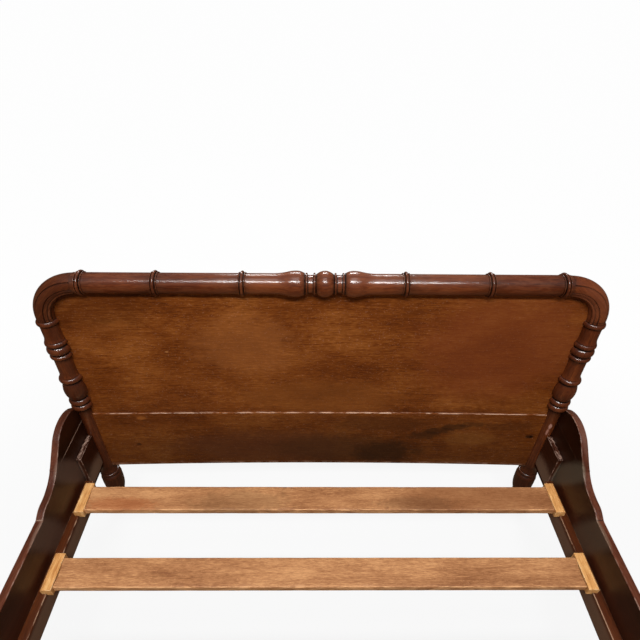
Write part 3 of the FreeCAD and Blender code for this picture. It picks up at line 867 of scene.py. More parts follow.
@dataclass
class Outline:
    """A closed outline across a bar.

    Attributes:
        points: Its points across the bar, in millimetres.
        outward: The direction out of the bar at each point.
        wear: How rubbed the bar is at each point.
    """

    points: np.ndarray
    outward: np.ndarray
    wear: np.ndarray

    @classmethod
    def rounded(cls, corners: Sequence[Triple], spacing: float, steps: int = 4) -> "Outline":
        """Rounds off a polygon.

        Args:
            corners: The place of each corner and its radius.
            spacing: How far apart the points on straight sides are.
            steps: How many parts each round has.

        Returns:
            The outline.
        """
        arcs = []
        count = len(corners)
        for number, (u, v, radius) in enumerate(corners):
            spot = np.array([u, v])
            back = np.array(corners[number - 1][:2]) - spot
            ahead = np.array(corners[(number + 1) % count][:2]) - spot
            back, ahead = back / np.linalg.norm(back), ahead / np.linalg.norm(ahead)
            half = math.acos(float(np.clip(back @ ahead, -1, 1))) / 2
            inward = (back + ahead) / np.linalg.norm(back + ahead)
            centre = spot + inward * radius / math.sin(half)
            start = spot + back * radius / math.tan(half) - centre
            end = spot + ahead * radius / math.tan(half) - centre
            turn = math.atan2(start[0] * end[1] - start[1] * end[0], float(start @ end))
            first = math.atan2(start[1], start[0])
            angles = first + turn * np.linspace(0, 1, steps + 1)
            arcs.append(centre + radius * np.stack([np.cos(angles), np.sin(angles)], -1))
        points, wear = [], []
        for number, arc in enumerate(arcs):
            points += list(arc)
            wear += list(np.sin(np.linspace(0, np.pi, len(arc))))
            gap = arcs[(number + 1) % count][0] - arc[-1]
            parts = int(np.linalg.norm(gap) // spacing) + 1
            points += [arc[-1] + gap * part / parts for part in range(1, parts)]
            wear += [0.0] * (parts - 1)
        points = np.array(points)
        ahead = np.roll(points, -1, 0)
        area = (points[:, 0] * ahead[:, 1] - points[:, 1] * ahead[:, 0]).sum()
        along = ahead - np.roll(points, 1, 0)
        outward = np.stack([along[:, 1], -along[:, 0]], -1) * math.copysign(1, area)
        return cls(points, outward / np.linalg.norm(outward, axis=1, keepdims=True), np.array(wear))

    @classmethod
    def box(cls, sides: Pair, heights: Pair, rounds: Four, spacing: float) -> "Outline":
        """Draws a rectangle with rounded corners.

        Args:
            sides: The places of its near and its far side.
            heights: The heights of its bottom and its top.
            rounds: The radii of its corners: near bottom, near top, far top and far bottom.
            spacing: How far apart the points on straight sides are.

        Returns:
            The outline.
        """
        (near, far), (bottom, top) = sides, heights
        places = ((near, bottom), (near, top), (far, top), (far, bottom))
        return cls.rounded([(*place, radius) for place, radius in zip(places, rounds)], spacing)

    def sweep(self, start: float, end: float, spacing: float, ease: float) -> Rows:
        """Draws the outline along a bar with eased ends.

        Args:
            start: Where the bar starts.
            end: Where it ends.
            spacing: How far apart the rows are.
            ease: The radius of its end edges.

        Returns:
            The place along the bar, the places across it and the wear, row by row.
        """
        turn = np.linspace(0, np.pi / 2, 4)
        insets = ease * (1 - np.sin(turn))
        runs = ease * (1 - np.cos(turn))
        middle = np.linspace(start + ease, end - ease, int((end - start) // spacing) + 2)[1:-1]
        places = np.concatenate([start + runs, middle, (end - runs)[::-1]])
        inset = np.concatenate([insets, np.zeros(len(middle)), insets[::-1]])
        rubbed = np.concatenate([np.sin(2 * turn), np.zeros(len(middle)), np.sin(2 * turn)[::-1]])
        across = self.points[None] - inset[:, None, None] * self.outward[None]
        along = np.broadcast_to(places[:, None], across.shape[:2])
        return along, across, np.maximum(self.wear[None], rubbed[:, None])


@dataclass
class Turning:
    """The outline of a turned piece, from one end to the other.

    Attributes:
        stations: The position, the radius, the wear and the grime of each point.
        plain_step: How far apart the points of a long straight line are, at least.
        curve_steps: How many parts a curve has.
        bead_points: How many points the round of a bead has.
        groove: The width of the grooves beside a bead, at most.
        bead_painted_shade: Painted shade that keeps each bead dark where its upper face would catch the
            light.
    """

    stations: list[Four] = field(default_factory=list)
    plain_step: float = 5.0
    curve_steps: int = 10
    bead_points: int = 17
    groove: float = 1.5
    bead_painted_shade: float = 0.28

    @property
    def position(self) -> float:
        """How far along the outline has come."""
        return self.stations[-1][0]

    def to(self, position: float, radius: float, bow: float = 0.0, grime: float = 0.0) -> None:
        """Draws a line or a gentle curve on to a point.

        Args:
            position: The point's place along the axis.
            radius: Its radius.
            bow: How far the line bows out in its middle.
            grime: How dirty the point is.
        """
        if not self.stations:
            self.stations.append((position, radius, 0.0, grime))
            return
        start, start_radius, _, start_grime = self.stations[-1]
        steps = self.curve_steps if bow else max(1, int(abs(position - start) // self.plain_step))
        for share in np.linspace(0, 1, steps + 1)[1:]:
            middle = start_radius + (radius - start_radius) * share + bow * 4 * share * (1 - share)
            dirt = grime * share ** 6 + start_grime * (1 - share) ** 6
            self.stations.append((start + (position - start) * share, middle, 0.0, dirt))

    def bead(self, width: float, root: float, crown: float, wear: float = 0.05) -> None:
        """Draws a round bead that stands in a fine groove at each side.

        Args:
            width: How wide it is.
            root: The radius that it stands on.
            crown: The radius of its crown.
            wear: How rubbed its crown is.
        """
        start = self.position
        groove = min(self.groove, width / 10)
        half = width / 2 - groove
        shoulder = max(root + 0.3, crown - half)
        rise = crown - shoulder
        curve = (half ** 2 + rise ** 2) / (2 * rise)
        reach = math.atan2(half, curve - rise)
        self.stations += [(start, root, 0.0, 1.0), (start + groove, root, 0.0, 1.0)]
        for turn in np.linspace(-reach, reach, self.bead_points):
            place = start + width / 2 + curve * math.sin(turn)
            share = 1 - curve * (1 - math.cos(turn)) / rise
            # Dirt in the grooves, and painted shade over the whole bead.
            dirt = max((1 - share) ** 3, self.bead_painted_shade)
            self.stations.append((place, shoulder + rise * share, wear * share ** 6, dirt))
        self.stations += [(start + width - groove, root, 0.0, 1.0), (start + width, root, 0.0, 1.0)]

    def joined(self, other: "Turning", middle: float) -> "Turning":
        """Joins two halves that are drawn out from the same middle.

        Args:
            other: The lower half.
            middle: Where the middle is.

        Returns:
            The whole outline.
        """
        lower = [(middle - position, *rest) for position, *rest in reversed(other.stations)]
        return Turning(lower[:-1] + [(middle + position, *rest) for position, *rest in self.stations])

    def rows(self, segments: int) -> Rows:
        """Turns the outline.

        Args:
            segments: How many points go round.

        Returns:
            The place along the axis, the places across it, the wear and the grime, row by row.
        """
        stations = np.array(self.stations)
        angles = np.arange(segments) * 2 * np.pi / segments
        circle = np.stack([np.cos(angles), np.sin(angles)], -1)
        along, _, wear, grime = (np.repeat(column[:, None], segments, 1) for column in stations.T)
        return along, stations[:, 1, None, None] * circle[None], wear, grime


@dataclass
class EndFrame:
    """The head or foot frame: two turned posts, two elbows, a top rail and a panel of two boards.

    Attributes:
        end: Which end of the bed it is.
        materials: The material of each slot.
        segments: The lengths of the plain stretches above the knops of a post.
        elbow_stain: Painted shade on the right and the left elbow; only the left one has it.
        post_stain: How dark the right and the left post are; the left one is darker still as painted shade.
        foot_stain: How dark the feet have gone.
        foot_top: The height of the feet.
        foot_lines: The lines of a foot up to its ring: height, radius, bow and grime.
        foot_ring: The width, the root radius and the crown radius of its ring.
        collar_radius: The radius of the shaft where it stands on the ring.
        collar_hollow: How hollow the shaft's foot is.
        lower_knop: The width and the crown radius of each bead of the lower knop.
        upper_knop: The same of the upper knops.
        reed_crown: How far above the elbow's round the rubbed crown of a reed starts.
        reed_dirt: The angle from a reed's middle at which dirt lies, and the width of the dirt, in radians.
        plain_fan: The first, the last and the step of the angles all round an elbow, in degrees.
        quirk_fan: The same of the extra angles at a quirk.
        reed_fan: The same of the extra angles at a reed.
        middle_lines: The lines of the top rail's middle bead, with positions from its middle.
        fine_bead: The width, the root radius and the crown radius of the fine beads beside it.
        neck_line: The line between the fine beads.
        swell_lines: The lines of the swell next to them.
        swell_end: Where the swell runs out into the plain rail.
        ring_half: Half the width of a rail's ring.
        fillet: The width, the crown radius and the wear of the fillets of a ring.
        fillet_sink: How far the fillets are let into the rail.
        ring_gap: The width of the grooves beside a ring's bead.
        ring_bead: The width, the root radius and the crown radius of a ring's bead.
        board_bow: How far the panel has bowed back at its joint and at its bottom.
        upper_rounds: The radii of the upper board's edges: front below and above, back above and below.
        lower_rounds: The same of the lower board.
        ledge_reach: How far out from the middle the ledge of the lower board is worn.
        board_grime: How much darker the upper and the lower board get, most towards the bottom and the
            middle.
    """

    end: End
    materials: Materials
    segments: tuple[float, ...]
    elbow_stain: Pair = (0.0, 0.4)
    post_stain: Pair = (0.12, 0.26)
    foot_stain: float = 0.6
    foot_top: float = 226.0
    foot_lines: tuple[tuple[float, ...], ...] = (
        (0.0, 15.8), (1.2, 17.0), (8.0, 17.0, 0.0, 0.6), (92.0, 22.3, 0.0, 0.2), (142.0, 31.0, 2.2),
        (168.0, 31.0, 0.5), (187.0, 23.6, 3.3, 0.9),
    )
    foot_ring: Triple = (14.0, 23.6, 29.6)
    collar_radius: float = 25.8
    collar_hollow: float = 1.6
    shaft_bottom: float = 225.0
    post_x: float = 679.0
    head_y: float = 995.0
    turning_segments: int = 72
    shaft_radius: float = 19.8
    knop_bottom: float = 496.0
    knop_root: float = 24.3
    knop_flare: float = 26.4
    segment_radius: float = 23.9
    lower_knop: tuple[Pair, ...] = ((21.5, 29.7), (21.5, 29.7), (64.0, 31.3), (20.0, 31.3))
    upper_knop: tuple[Pair, ...] = ((16.0, 29.0), (26.0, 30.6), (18.0, 29.2))
    knop_rise: float = 7.0
    knop_fall: float = 14.0
    knop_hollow: float = 0.6
    corner_ring: Pair = (18.0, 28.4)
    bend_radius: float = 96.0
    bend_rows: int = 41
    elbow_drop: float = 5.0
    elbow_radius: float = 24.0
    quirk_radius: float = 1.5
    quirk_angles: Pair = (58.0, 106.0)
    reed_radius: float = 4.4
    reed_angle: float = 138.0
    reed_wear: float = 0.2
    reed_crown: float = 1.2
    reed_dirt: Pair = (0.19, 0.05)
    plain_fan: Triple = (-180.0, 180.0, 4.0)
    quirk_fan: Triple = (-5.0, 5.1, 0.7)
    reed_fan: Triple = (-14.0, 14.1, 1.4)
    top_rail_radius: float = 24.9
    rail_wear: float = 0.1
    rail_middle: float = 3.7
    left_rings: tuple[float, ...] = (-189.6, -393.0, -566.0)
    right_rings: tuple[float, ...] = (193.6, 393.0, 568.0)
    middle_lines: tuple[tuple[float, ...], ...] = (
        (0.0, 31.5), (21.0, 22.6, 2.3, 1.0), (21.8, 21.8, 0.0, 1.0),
    )
    fine_bead: Triple = (6.0, 21.8, 26.6)
    neck_line: tuple[float, ...] = (40.2, 22.0, -0.4, 1.0)
    swell_lines: tuple[tuple[float, ...], ...] = (
        (47.0, 21.8, 0.0, 1.0), (47.2, 25.6, 0.0, 1.0), (66.8, 31.5, 1.5), (89.6, 28.5, 0.75),
    )
    swell_end: float = 123.0
    swell_hollow: float = 0.9
    ring_half: float = 9.0
    fillet: Triple = (3.4, 27.4, 0.3)
    fillet_sink: float = 1.2
    ring_gap: float = 1.2
    ring_bead: Triple = (8.8, 24.2, 30.8)
    board_inset: float = 13.0
    upper_front: float = -2.0
    lower_front: float = -6.0
    board_back: float = 12.0
    board_bottom: float = 225.0
    board_joint: float = 466.0
    board_bow: Pair = (6.0, 10.0)
    upper_rounds: Four = (0.6, 0.6, 0.6, 0.6)
    lower_rounds: Four = (1.6, 1.4, 0.6, 1.2)
    board_row: float = 16.0
    board_ease: float = 0.8
    ledge_reach: float = 420.0
    rim_wear: float = 0.5
    board_grime: Pair = (0.05, 0.55)
    dowel_radius: float = 3.5
    dowel_length: float = 44.0
    dowel_chamfer: float = 1.0
    dowel_count: int = 5
    dowel_segments: int = 20

    def build(self) -> None:
        """Builds and dresses every piece of the frame."""
        top = self.post_outline().position
        self.axis_height = top + self.elbow_drop + self.bend_radius
        for side in Side:
            self.post(side)
            self.elbow(side)
        self.top_rail()
        self.upper_board()
        self.lower_board()
        self.panel_dowels()

    def named(self, name: str) -> str:
        """A piece's name with the end that it is at."""
        return f"{self.end.name.lower()}_{name}"

    def placed(self, x: np.ndarray, y: np.ndarray, z: np.ndarray) -> np.ndarray:
        """Puts points that are measured from the frame's middle plane into the bed's frame.

        Args:
            x: Their places across the bed.
            y: How far behind the posts' axes they are.
            z: Their heights.

        Returns:
            The points.
        """
        x, y, z = np.broadcast_arrays(x, (self.head_y + y) * self.end.value, z)
        return np.stack([x, y, z], -1)

    def post_outline(self) -> Turning:
        """Draws a post, from the floor up.

        Returns:
            The outline.
        """
        outline = Turning()
        for line in self.foot_lines:
            outline.to(*line)
        outline.bead(*self.foot_ring)
        outline.to(outline.position, self.collar_radius, grime=0.9)
        outline.to(self.shaft_bottom, self.shaft_radius, -self.collar_hollow, grime=0.5)
        outline.to(self.knop_bottom, self.shaft_radius, grime=0.8)
        self.knop_and_segment(outline, self.lower_knop, self.segments[0])
        for length in self.segments[1:]:
            outline.to(outline.position + self.knop_rise, self.knop_root, grime=0.6)
            self.knop_and_segment(outline, self.upper_knop, length)
        width, crown = self.corner_ring
        outline.bead(width, self.segment_radius - self.knop_hollow, crown)
        return outline

    def knop_and_segment(self, outline: Turning, beads: Sequence[Pair], length: float) -> None:
        """Draws a knop and the plain segment above it.

        Args:
            outline: The post's outline so far.
            beads: The width and the crown radius of each bead.
            length: How long the segment is.
        """
        for width, crown in beads:
            outline.bead(width, self.knop_root, crown)
        outline.to(outline.position, self.knop_flare, grime=0.3)
        outline.to(outline.position + self.knop_fall, self.segment_radius, -self.knop_hollow)
        outline.to(outline.position + length, self.segment_radius, grime=0.4)

    def post(self, side: Side) -> None:
        """Builds a post.

        Args:
            side: Which side it is on.
        """
        piece = Piece(self.named(f"{side.name.lower()}_post"), Slot.TURNED)
        along, across, wear, grime = self.post_outline().rows(self.turning_segments)
        points = self.placed(self.post_x * side.value + across[..., 0], across[..., 1], along)
        # Posts are darkened all over, the left one more as painted shade.
        stain = np.where(along < self.foot_top, self.foot_stain, self.post_stain[side is Side.LEFT])
        piece.add_skin(points, along_grain(points, Along.Z), wear, np.maximum(grime, stain))
        piece.build(self.materials, piece.name)

    def elbow_angles(self) -> np.ndarray:
        """Spaces the points round an elbow, closer together at its quirks and reeds.

        Returns:
            The angles from its outer side, in radians.
        """
        angles = list(np.arange(*self.plain_fan))
        for sign in (-1, 1):
            for place in self.quirk_angles:
                angles += list(sign * place + np.arange(*self.quirk_fan))
            angles += list(sign * self.reed_angle + np.arange(*self.reed_fan))
        return np.radians(np.unique(np.round(angles, 3)))

    def elbow_outline(self) -> Rows:
        """Draws the moulded outline across an elbow.

        Returns:
            The angles from its outer side, the radii, the wear and the grime.
        """
        angles = self.elbow_angles()
        radii = np.full_like(angles, self.elbow_radius)
        wear = np.zeros_like(angles)
        grime = np.zeros_like(angles)
        reach = self.elbow_radius - self.reed_radius / 2
        beside, width = self.reed_dirt
        for sign in (-1, 1):
            off = angles - sign * math.radians(self.reed_angle)
            inside = self.reed_radius ** 2 - (reach * np.sin(off)) ** 2
            reed = np.where(inside > 0, reach * np.cos(off) + np.sqrt(np.maximum(inside, 0)), 0)
            crown = reed > self.elbow_radius + self.reed_crown
            wear = np.maximum(wear, np.where(crown, self.reed_wear, 0))
            grime = np.maximum(grime, np.exp(-((np.abs(off) - beside) / width) ** 2))
            radii = np.maximum(radii, reed)
            for place in self.quirk_angles:
                off = (angles - sign * math.radians(place)) * self.elbow_radius
                depth = np.sqrt(np.maximum(self.quirk_radius ** 2 - off ** 2, 0))
                radii = radii - depth
                grime = np.maximum(grime, np.exp(-(off / self.quirk_radius) ** 2))
        return angles, radii, wear, grime

    def elbow(self, side: Side) -> None:
        """Builds an elbow: a quarter bend and a short drop onto the post.

        Args:
            side: Which side it is on.
        """
        piece = Piece(self.named(f"{side.name.lower()}_elbow"), Slot.TURNED)
        angles, radii, wear, grime = self.elbow_outline()
        bend = np.concatenate([np.linspace(0, np.pi / 2, self.bend_rows), [np.pi / 2] * 2])
        drop = np.concatenate([np.zeros(self.bend_rows), [self.elbow_drop / 2, self.elbow_drop]])
        reach = self.bend_radius + radii * np.cos(angles)
        x = self.post_x - self.bend_radius + np.sin(bend)[:, None] * reach
        z = self.axis_height - self.bend_radius + np.cos(bend)[:, None] * reach - drop[:, None]
        points = self.placed(x * side.value, radii * np.sin(angles), z)
        slant = np.stack([x - z, x + z, points[..., 1] * math.sqrt(2)], -1) / math.sqrt(2)
        ends = np.exp(-(np.minimum(bend, np.pi / 2 - bend + drop) * self.bend_radius / 3) ** 2)
        dirt = np.maximum(grime[None], 0.7 * ends[:, None])
        # Painted shade: the left elbow is darkened with the dirt colour.
        stain = self.elbow_stain[side is Side.LEFT]
        piece.add_skin(points, slant, wear[None], np.maximum(dirt, stain))
        piece.build(self.materials, piece.name)

    def half_rail(self, rings: Sequence[float], length: float) -> Turning:
        """Draws half a top rail.

        Args:
            rings: How far each ring is from the middle turning.
            length: How long the half is.

        Returns:
            The outline, from the middle turning out.
        """
        half = Turning()
        for line in self.middle_lines:
            half.to(*line)
        half.bead(*self.fine_bead)
        half.to(*self.neck_line)
        half.bead(*self.fine_bead)
        for line in self.swell_lines:
            half.to(*line)
        half.to(self.swell_end, self.top_rail_radius, -self.swell_hollow)
        for place in rings:
            half.to(place - self.ring_half, self.top_rail_radius, grime=0.4)
            self.ring(half)
            half.to(half.position, self.top_rail_radius, grime=0.4)
        half.to(length, self.top_rail_radius, grime=0.5)
        return half

    def ring(self, half: Turning) -> None:
        """Draws a ring of the top rail: a bead between two fillets.

        Args:
            half: The half rail's outline so far.
        """
        width, crown, wear = self.fillet
        root = self.top_rail_radius - self.fillet_sink
        half.bead(width, root, crown, wear)
        half.to(half.position + self.ring_gap, self.ring_bead[1], grime=1.0)
        half.bead(*self.ring_bead)
        half.to(half.position + self.ring_gap, self.ring_bead[1], grime=1.0)
        half.bead(width, root, crown, wear)

    def top_rail_outline(self) -> Turning:
        """Draws the top rail, whose turnings sit a little unevenly, from end to end.

        Returns:
            The outline.
        """
        length = self.post_x - self.bend_radius
        middle = self.rail_middle
        right = self.half_rail([ring - middle for ring in self.right_rings], length - middle)
        left = self.half_rail([middle - ring for ring in self.left_rings], length + middle)
        return right.joined(left, middle)

    def top_rail(self) -> None:
        """Builds the top rail."""
        piece = Piece(self.named("top_rail"), Slot.TURNED)
        along, across, wear, grime = self.top_rail_outline().rows(self.turning_segments)
        points = self.placed(along, across[..., 0], self.axis_height + across[..., 1])
        piece.add_skin(points, along_grain(points, Along.X), np.maximum(wear, self.rail_wear), grime)
        piece.build(self.materials, piece.name)

    def bowed(self, x: np.ndarray, z: np.ndarray) -> np.ndarray:
        """Works out how far the panel has bowed back.

        Args:
            x: Places across the bed.
            z: Heights.

        Returns:
            The bow at each place.
        """
        crest = self.axis_height - self.board_inset
        at_joint, at_bottom = self.board_bow
        depth = np.interp(z, [self.board_bottom, self.board_joint, crest], [at_bottom, at_joint, 0])
        return depth * (1 - (x / (self.post_x - self.board_inset)) ** 2)

    def board(self, name: str, outline: Outline, crested: bool, grime: float) -> None:
        """Builds a board of the panel.

        Args:
            name: The board's name.
            outline: Its outline across its length: places behind the posts' axes, and heights.
            crested: Whether its top follows the elbows.
            grime: How dark the middle of its bottom edge goes, the board getting darker towards the bottom.
        """
        piece = Piece(self.named(name), Slot.PANEL)
        half = self.post_x - self.board_inset
        along, across, wear = outline.sweep(-half, half, self.board_row, self.board_ease)
        y, z = across[..., 0], across[..., 1]
        bottom, top = z.min(), z.max()
        if crested:
            z = bottom + (z - bottom) * (self.crest(along) - bottom) / (top - bottom)
        points = self.placed(along, y + self.bowed(along, z), z)
        ledge = (z > top - 0.5) & (y < 0) & (not crested)
        rim = (z < bottom + 2.0) & (y < 0) & (not crested)
        worn = np.maximum(wear, np.where(ledge, np.exp(-(along / self.ledge_reach) ** 2), 0.0))
        worn = np.maximum(worn, np.where(rim, self.rim_wear, 0.0))
        lowness = np.clip((top - z) / (top - bottom), 0, 1)
        dirt = grime * (0.4 + 0.6 * lowness) * (1 - 0.5 * (along / half) ** 2)
        piece.add_skin(points, along_grain(points, Along.X), worn, dirt)
        piece.build(self.materials, piece.name)

    def crest(self, x: np.ndarray) -> np.ndarray:
        """Works out the height of the panel's rounded top.

        Args:
            x: Places across the bed.

        Returns:
            The height at each place.
        """
        radius = self.bend_radius - self.board_inset
        into = np.clip(np.abs(x) - (self.post_x - self.bend_radius), 0, radius)
        return self.axis_height - self.board_inset - radius + np.sqrt(radius ** 2 - into ** 2)

    def upper_board(self) -> None:
        """Builds the upper board of the panel."""
        sides = (self.upper_front, self.board_back)
        heights = (self.board_joint, self.axis_height - self.board_inset)
        outline = Outline.box(sides, heights, self.upper_rounds, spacing=14.0)
        self.board("upper_board", outline, True, self.board_grime[0])

    def lower_board(self) -> None:
        """Builds the lower board of the panel, which stands a little proud of the upper one."""
        sides = (self.lower_front, self.board_back)
        heights = (self.board_bottom, self.board_joint)
        outline = Outline.box(sides, heights, self.lower_rounds, spacing=12.0)
        self.board("lower_board", outline, False, self.board_grime[1])

    def panel_dowels(self) -> None:
        """Builds the dowels across the panel's joint, which follow its bow."""
        piece = Piece(self.named("panel_dowels"), Slot.DOWEL)
        half = self.post_x - self.board_inset
        tip = self.dowel_length / 2
        rod = Turning()
        rod.to(-tip, self.dowel_radius - self.dowel_chamfer)
        rod.to(self.dowel_chamfer - tip, self.dowel_radius)
        rod.to(tip - self.dowel_chamfer, self.dowel_radius)
        rod.to(tip, self.dowel_radius - self.dowel_chamfer)
        along, across, wear, grime = rod.rows(self.dowel_segments)
        middle = (self.upper_front + self.board_back) / 2
        for number in range(self.dowel_count):
            x = np.array(half * (2 * (number + 1) / (self.dowel_count + 1) - 1))
            y = middle + self.bowed(x, np.array(self.board_joint)) + across[..., 1]
            points = self.placed(x + across[..., 0], y, self.board_joint + along)
            piece.add_skin(points, along_grain(points, Along.Z), wear, grime)
        piece.build(self.materials, piece.name)


@dataclass(frozen=True)
class ScrollLine:
    """The upper edge of a side rail, measured from the post's axis towards the middle of the bed.

    Attributes:
        crown: The place and the height of the scroll's crown.
        shoulder: The place and the height where it meets the post.
        length: The length of the fall from the crown.
        fall: Its height.
        step_length: The length of the small step at its foot.
        step_fall: The height of the step.
        slope_share: How much steeper the slope is than the straight line from end to end.
        fall_crown: The crown's share of the two radii of the fall.
        step_crown: The crown's share of the two radii of the step.
    """

    crown: Pair = (76.0, 525.0)
    shoulder: Pair = (-6.0, 475.0)
    length: float = 188.0
    fall: float = 103.0
    step_length: float = 40.0
    step_fall: float = 15.0
    slope_share: float = 0.554
    fall_crown: float = 0.434
    step_crown: float = 0.85

    def ogee(self, run: np.ndarray, length: float, fall: float, crown_share: float) -> np.ndarray:
        """Works out how far a crown, a slope and a hollow have fallen.

        Args:
            run: How far along they are.
            length: Their whole length.
            fall: Their whole fall.
            crown_share: The crown's share of the two radii.

        Returns:
            The fall at each place.
        """
        angle = (1 + self.slope_share) * math.atan2(fall, length)
        radii = (length * math.sin(angle) - fall * math.cos(angle)) / (1 - math.cos(angle))
        crown, hollow = crown_share * radii, (1 - crown_share) * radii
        run = np.clip(run, 0, length)
        left = length - run
        down = crown - np.sqrt(np.maximum(crown ** 2 - np.minimum(run, crown) ** 2, 0))
        up = fall - hollow + np.sqrt(np.maximum(hollow ** 2 - np.minimum(left, hollow) ** 2, 0))
        slope = crown * (1 - math.cos(angle)) + (run - crown * math.sin(angle)) * math.tan(angle)
        middle = np.where(run < crown * math.sin(angle), down, slope)
        return np.where(left < hollow * math.sin(angle), up, middle)

    def height(self, place: np.ndarray) -> np.ndarray:
        """Works out the height of the edge.

        Args:
            place: Places from the post's axis towards the middle of the bed.

        Returns:
            The height at each place.
        """
        across = self.crown[0] - self.shoulder[0]
        angle = 2 * math.atan2(self.crown[1] - self.shoulder[1], across)
        radius = across / math.sin(angle)
        before = np.clip(self.crown[0] - place, 0, across)
        rise = self.crown[1] - radius + np.sqrt(radius ** 2 - before ** 2)
        after = place - self.crown[0]
        fall = self.ogee(after, self.length, self.fall, self.fall_crown)
        step = self.ogee(after - self.length, self.step_length, self.step_fall, self.step_crown)
        return np.where(after < 0, rise, self.crown[1] - fall - step)


